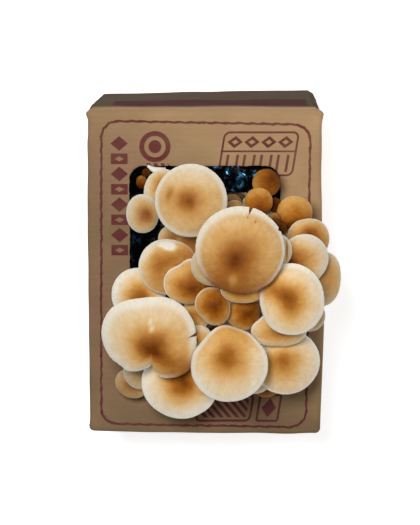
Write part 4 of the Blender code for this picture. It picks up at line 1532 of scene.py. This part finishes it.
def stem_flesh(settings):
    """Stem flesh: cream, with fibres along it, browner and scaly low down."""
    finish = Finish(
        "stem_flesh_fibrous",
        Metallic=0.0,
        Specular_IOR_Level=0.3,
        Subsurface_Weight=0.10,
        Subsurface_Radius=(1.0, 0.7, 0.4),
        Subsurface_Scale=1.5 * MM,
    )
    way_x, way_y, length = finish.split(finish.trait("grain"))
    down = finish.level("down")
    fibre = finish.noise(finish.join(way_x * 6.0, way_y * 6.0, length * 60.0), 3.0, 4.0, 0.65)
    patch = finish.noise(finish.join(way_x, way_y, length * 120.0), 1.6, 3.0, 0.6)
    brown = (down + (patch - 0.5) * 1.1 + (fibre - 0.5) * 0.5).rise(0.45, 1.25)
    colour = finish.blend(brown * 0.75, tuple(settings.flesh), tuple(settings.age))
    shade = 0.84 + fibre * 0.28
    return finish.wear(
        Base_Color=finish.dim(colour, shade),
        Roughness=0.62 + fibre * 0.2,
        Normal=finish.bump(fibre, 0.35 * MM, 0.8),
    )


class GROWKIT_OT_stems(bpy.types.Operator):
    """Grows each bunch of stems from its foot up into its caps"""

    bl_idname = "growkit.stems"
    bl_label = "Stems"

    def execute(self, context):
        settings = context.scene.growkit_stems
        trees = {}
        for node in STEM_NODES:
            solid = merged_solid(node)
            trees[node] = BVHTree.FromBMesh(solid)
            solid.free()
        bunches = {node: [] for node in STEM_NODES}
        for cap in CAP_NODES:
            solid = CapSolid(cap)
            seat = Vector(solid.to_world(np.array(solid.umbo), np.array(solid.seat)))
            bunches[min(STEM_NODES, key=lambda node: trees[node].find_nearest(seat)[3])].append(solid)
        finish = stem_flesh(settings)
        for number, (node, caps) in enumerate(bunches.items()):
            if not caps:
                raise RuntimeError(node + " carries no cap")
            shape = Shape()
            for index, solid in enumerate(caps):
                self.add_stem(shape, trees[node], solid, settings, 500 + 20 * number + index)
            rings, top, end = foot_mound(node, 900 + number)
            spots = rings.shape[:2]
            grain = np.stack([rings[..., 0] / (8 * MM), rings[..., 1] / (8 * MM), rings[..., 2]], axis=-1)
            shape.add(rings, {"grain": grain, "down": np.full(spots, 0.35)}, start=top, end=end)
            stand_for(shape.build("grown_" + node, [finish]), "stem_flesh", node)
        return {"FINISHED"}

    def add_stem(self, shape, tree, solid, settings, seed):
        """Adds one stem, wider at its foot, and the ring below its cap if it is grown."""
        line, at = even_line(stem_line(tree, solid), settings.rings)
        down = at / at[-1]
        flare = 0.55 * bell(at, 0, 4 * MM) + 0.30 * down**2
        rings, angle = tube(line, solid.seat_radius * (1 + flare), settings.sides, 0.022, seed)
        way = np.stack([np.cos(angle), np.sin(angle)], axis=-1)
        length = np.broadcast_to((at + seed * 0.1)[:, None, None], way.shape[:2] + (1,))
        traits = {
            "grain": np.concatenate([way, length], axis=-1),
            "down": np.broadcast_to(down[:, None], angle.shape) * min(1.0, at[-1] / (50 * MM) + 0.25),
        }
        shape.add(rings, traits, start=line[0], end=line[-1])
        if solid.radius > RINGED_CAP:
            skirt = collar(line, at, solid.seat_radius, 40, seed)
            spots = skirt.shape[:2]
            round_it = np.broadcast_to(np.linspace(0, FULL_TURN, 40, endpoint=False), spots)
            grain = np.stack([np.cos(round_it), np.sin(round_it), np.full(spots, seed * 0.2)], axis=-1)
            shape.add(skirt, {"grain": grain, "down": np.full(spots, 0.30)})


# The stage
def area_light(name, place, size, watts, hue):
    """A square soft light at a place, facing the middle of the bunches. The camera doesn't see it."""
    lamp = bpy.data.lights.new(name, "AREA")
    lamp.shape = "SQUARE"
    lamp.size = size
    lamp.energy = watts
    lamp.color = hue
    obj = bpy.data.objects.new(name, lamp)
    obj.location = place
    obj.rotation_euler = (Vector(LIT_POINT) - Vector(place)).to_track_quat("-Z", "Y").to_euler()
    obj.visible_camera = False
    bpy.context.scene.collection.objects.link(obj)


class GROWKIT_OT_stage(bpy.types.Operator):
    """Sets the pale floor, the soft lights and the camera"""

    bl_idname = "growkit.stage"
    bl_label = "Stage"

    def execute(self, context):
        settings = context.scene.growkit_stage
        scene = context.scene
        over = np.linspace(-FLOOR_REACH, FLOOR_REACH, 9)
        x, y = np.meshgrid(over, -over)
        shape = Shape()
        shape.add(np.stack([x, y, 0 * x - 0.2 * MM], axis=-1), closed=False)
        finish = Finish("floor_pale", Base_Color=tuple(settings.floor), Roughness=0.9, Metallic=0.0)
        finish.wear(Emission_Color=(1.0, 1.0, 1.0), Emission_Strength=0.70)
        shape.build("floor", [finish.material])
        lights = (
            ("key_light", (-0.15, 0.32, 1.20), 0.26, settings.key, (1.0, 0.985, 0.96)),
            ("fill_light", (0.35, 0.10, 1.00), 0.5, settings.fill, (1.0, 1.0, 1.0)),
            ("foot_light", (0.45, -1.15, 0.30), 0.6, settings.foot, (1.0, 0.98, 0.95)),
        )
        for light in lights:
            area_light(*light)
        world = scene.world or bpy.data.worlds.new("World")
        scene.world = world
        world.use_nodes = True
        sky = world.node_tree.nodes["Background"]
        sky.inputs["Color"].default_value = (1.0, 1.0, 1.0, 1.0)
        sky.inputs["Strength"].default_value = settings.sky
        scene.view_settings.view_transform = "Standard"
        camera_data = bpy.data.cameras.new("camera")
        camera_data.lens = settings.lens
        camera_data.sensor_width = 36.0
        camera = bpy.data.objects.new("camera", camera_data)
        camera.location = settings.eye
        back = (Vector(settings.eye) - Vector(settings.aim)).normalized()
        right = Vector((0.0, 1.0, 0.0)).cross(back).normalized()
        camera.rotation_euler = Matrix((right, back.cross(right), back)).transposed().to_euler()
        scene.collection.objects.link(camera)
        scene.camera = camera
        return {"FINISHED"}


# The panel and the run
class GROWKIT_PT_panel(bpy.types.Panel):
    """Sizes, colours and the pieces of the grow kit"""

    bl_idname = "GROWKIT_PT_panel"
    bl_label = "Grow kit"
    bl_space_type = "VIEW_3D"
    bl_region_type = "UI"
    bl_category = "Grow kit"

    def draw(self, context):
        for operator, name, group in PIECES:
            box = self.layout.box()
            box.operator(operator.bl_idname)
            for setting in group.__annotations__:
                box.prop(getattr(context.scene, name), setting)


PIECES = (
    (GROWKIT_OT_carton, "growkit_carton", CartonSettings),
    (GROWKIT_OT_film, "growkit_film", FilmSettings),
    (GROWKIT_OT_block, "growkit_block", BlockSettings),
    (GROWKIT_OT_stems, "growkit_stems", StemSettings),
    (GROWKIT_OT_caps, "growkit_caps", CapSettings),
    (GROWKIT_OT_stage, "growkit_stage", StageSettings),
)


def register():
    for operator, name, group in PIECES:
        bpy.utils.register_class(group)
        setattr(bpy.types.Scene, name, PointerProperty(type=group))
        bpy.utils.register_class(operator)
    bpy.utils.register_class(GROWKIT_PT_panel)


def unregister():
    bpy.utils.unregister_class(GROWKIT_PT_panel)
    for operator, name, group in reversed(PIECES):
        bpy.utils.unregister_class(operator)
        delattr(bpy.types.Scene, name)
        bpy.utils.unregister_class(group)


def main():
    register()
    bpy.ops.growkit.carton()
    bpy.ops.growkit.film()
    bpy.ops.growkit.block()
    bpy.ops.growkit.stems()
    bpy.ops.growkit.caps()
    bpy.ops.growkit.stage()


if __name__ == "__main__":
    main()
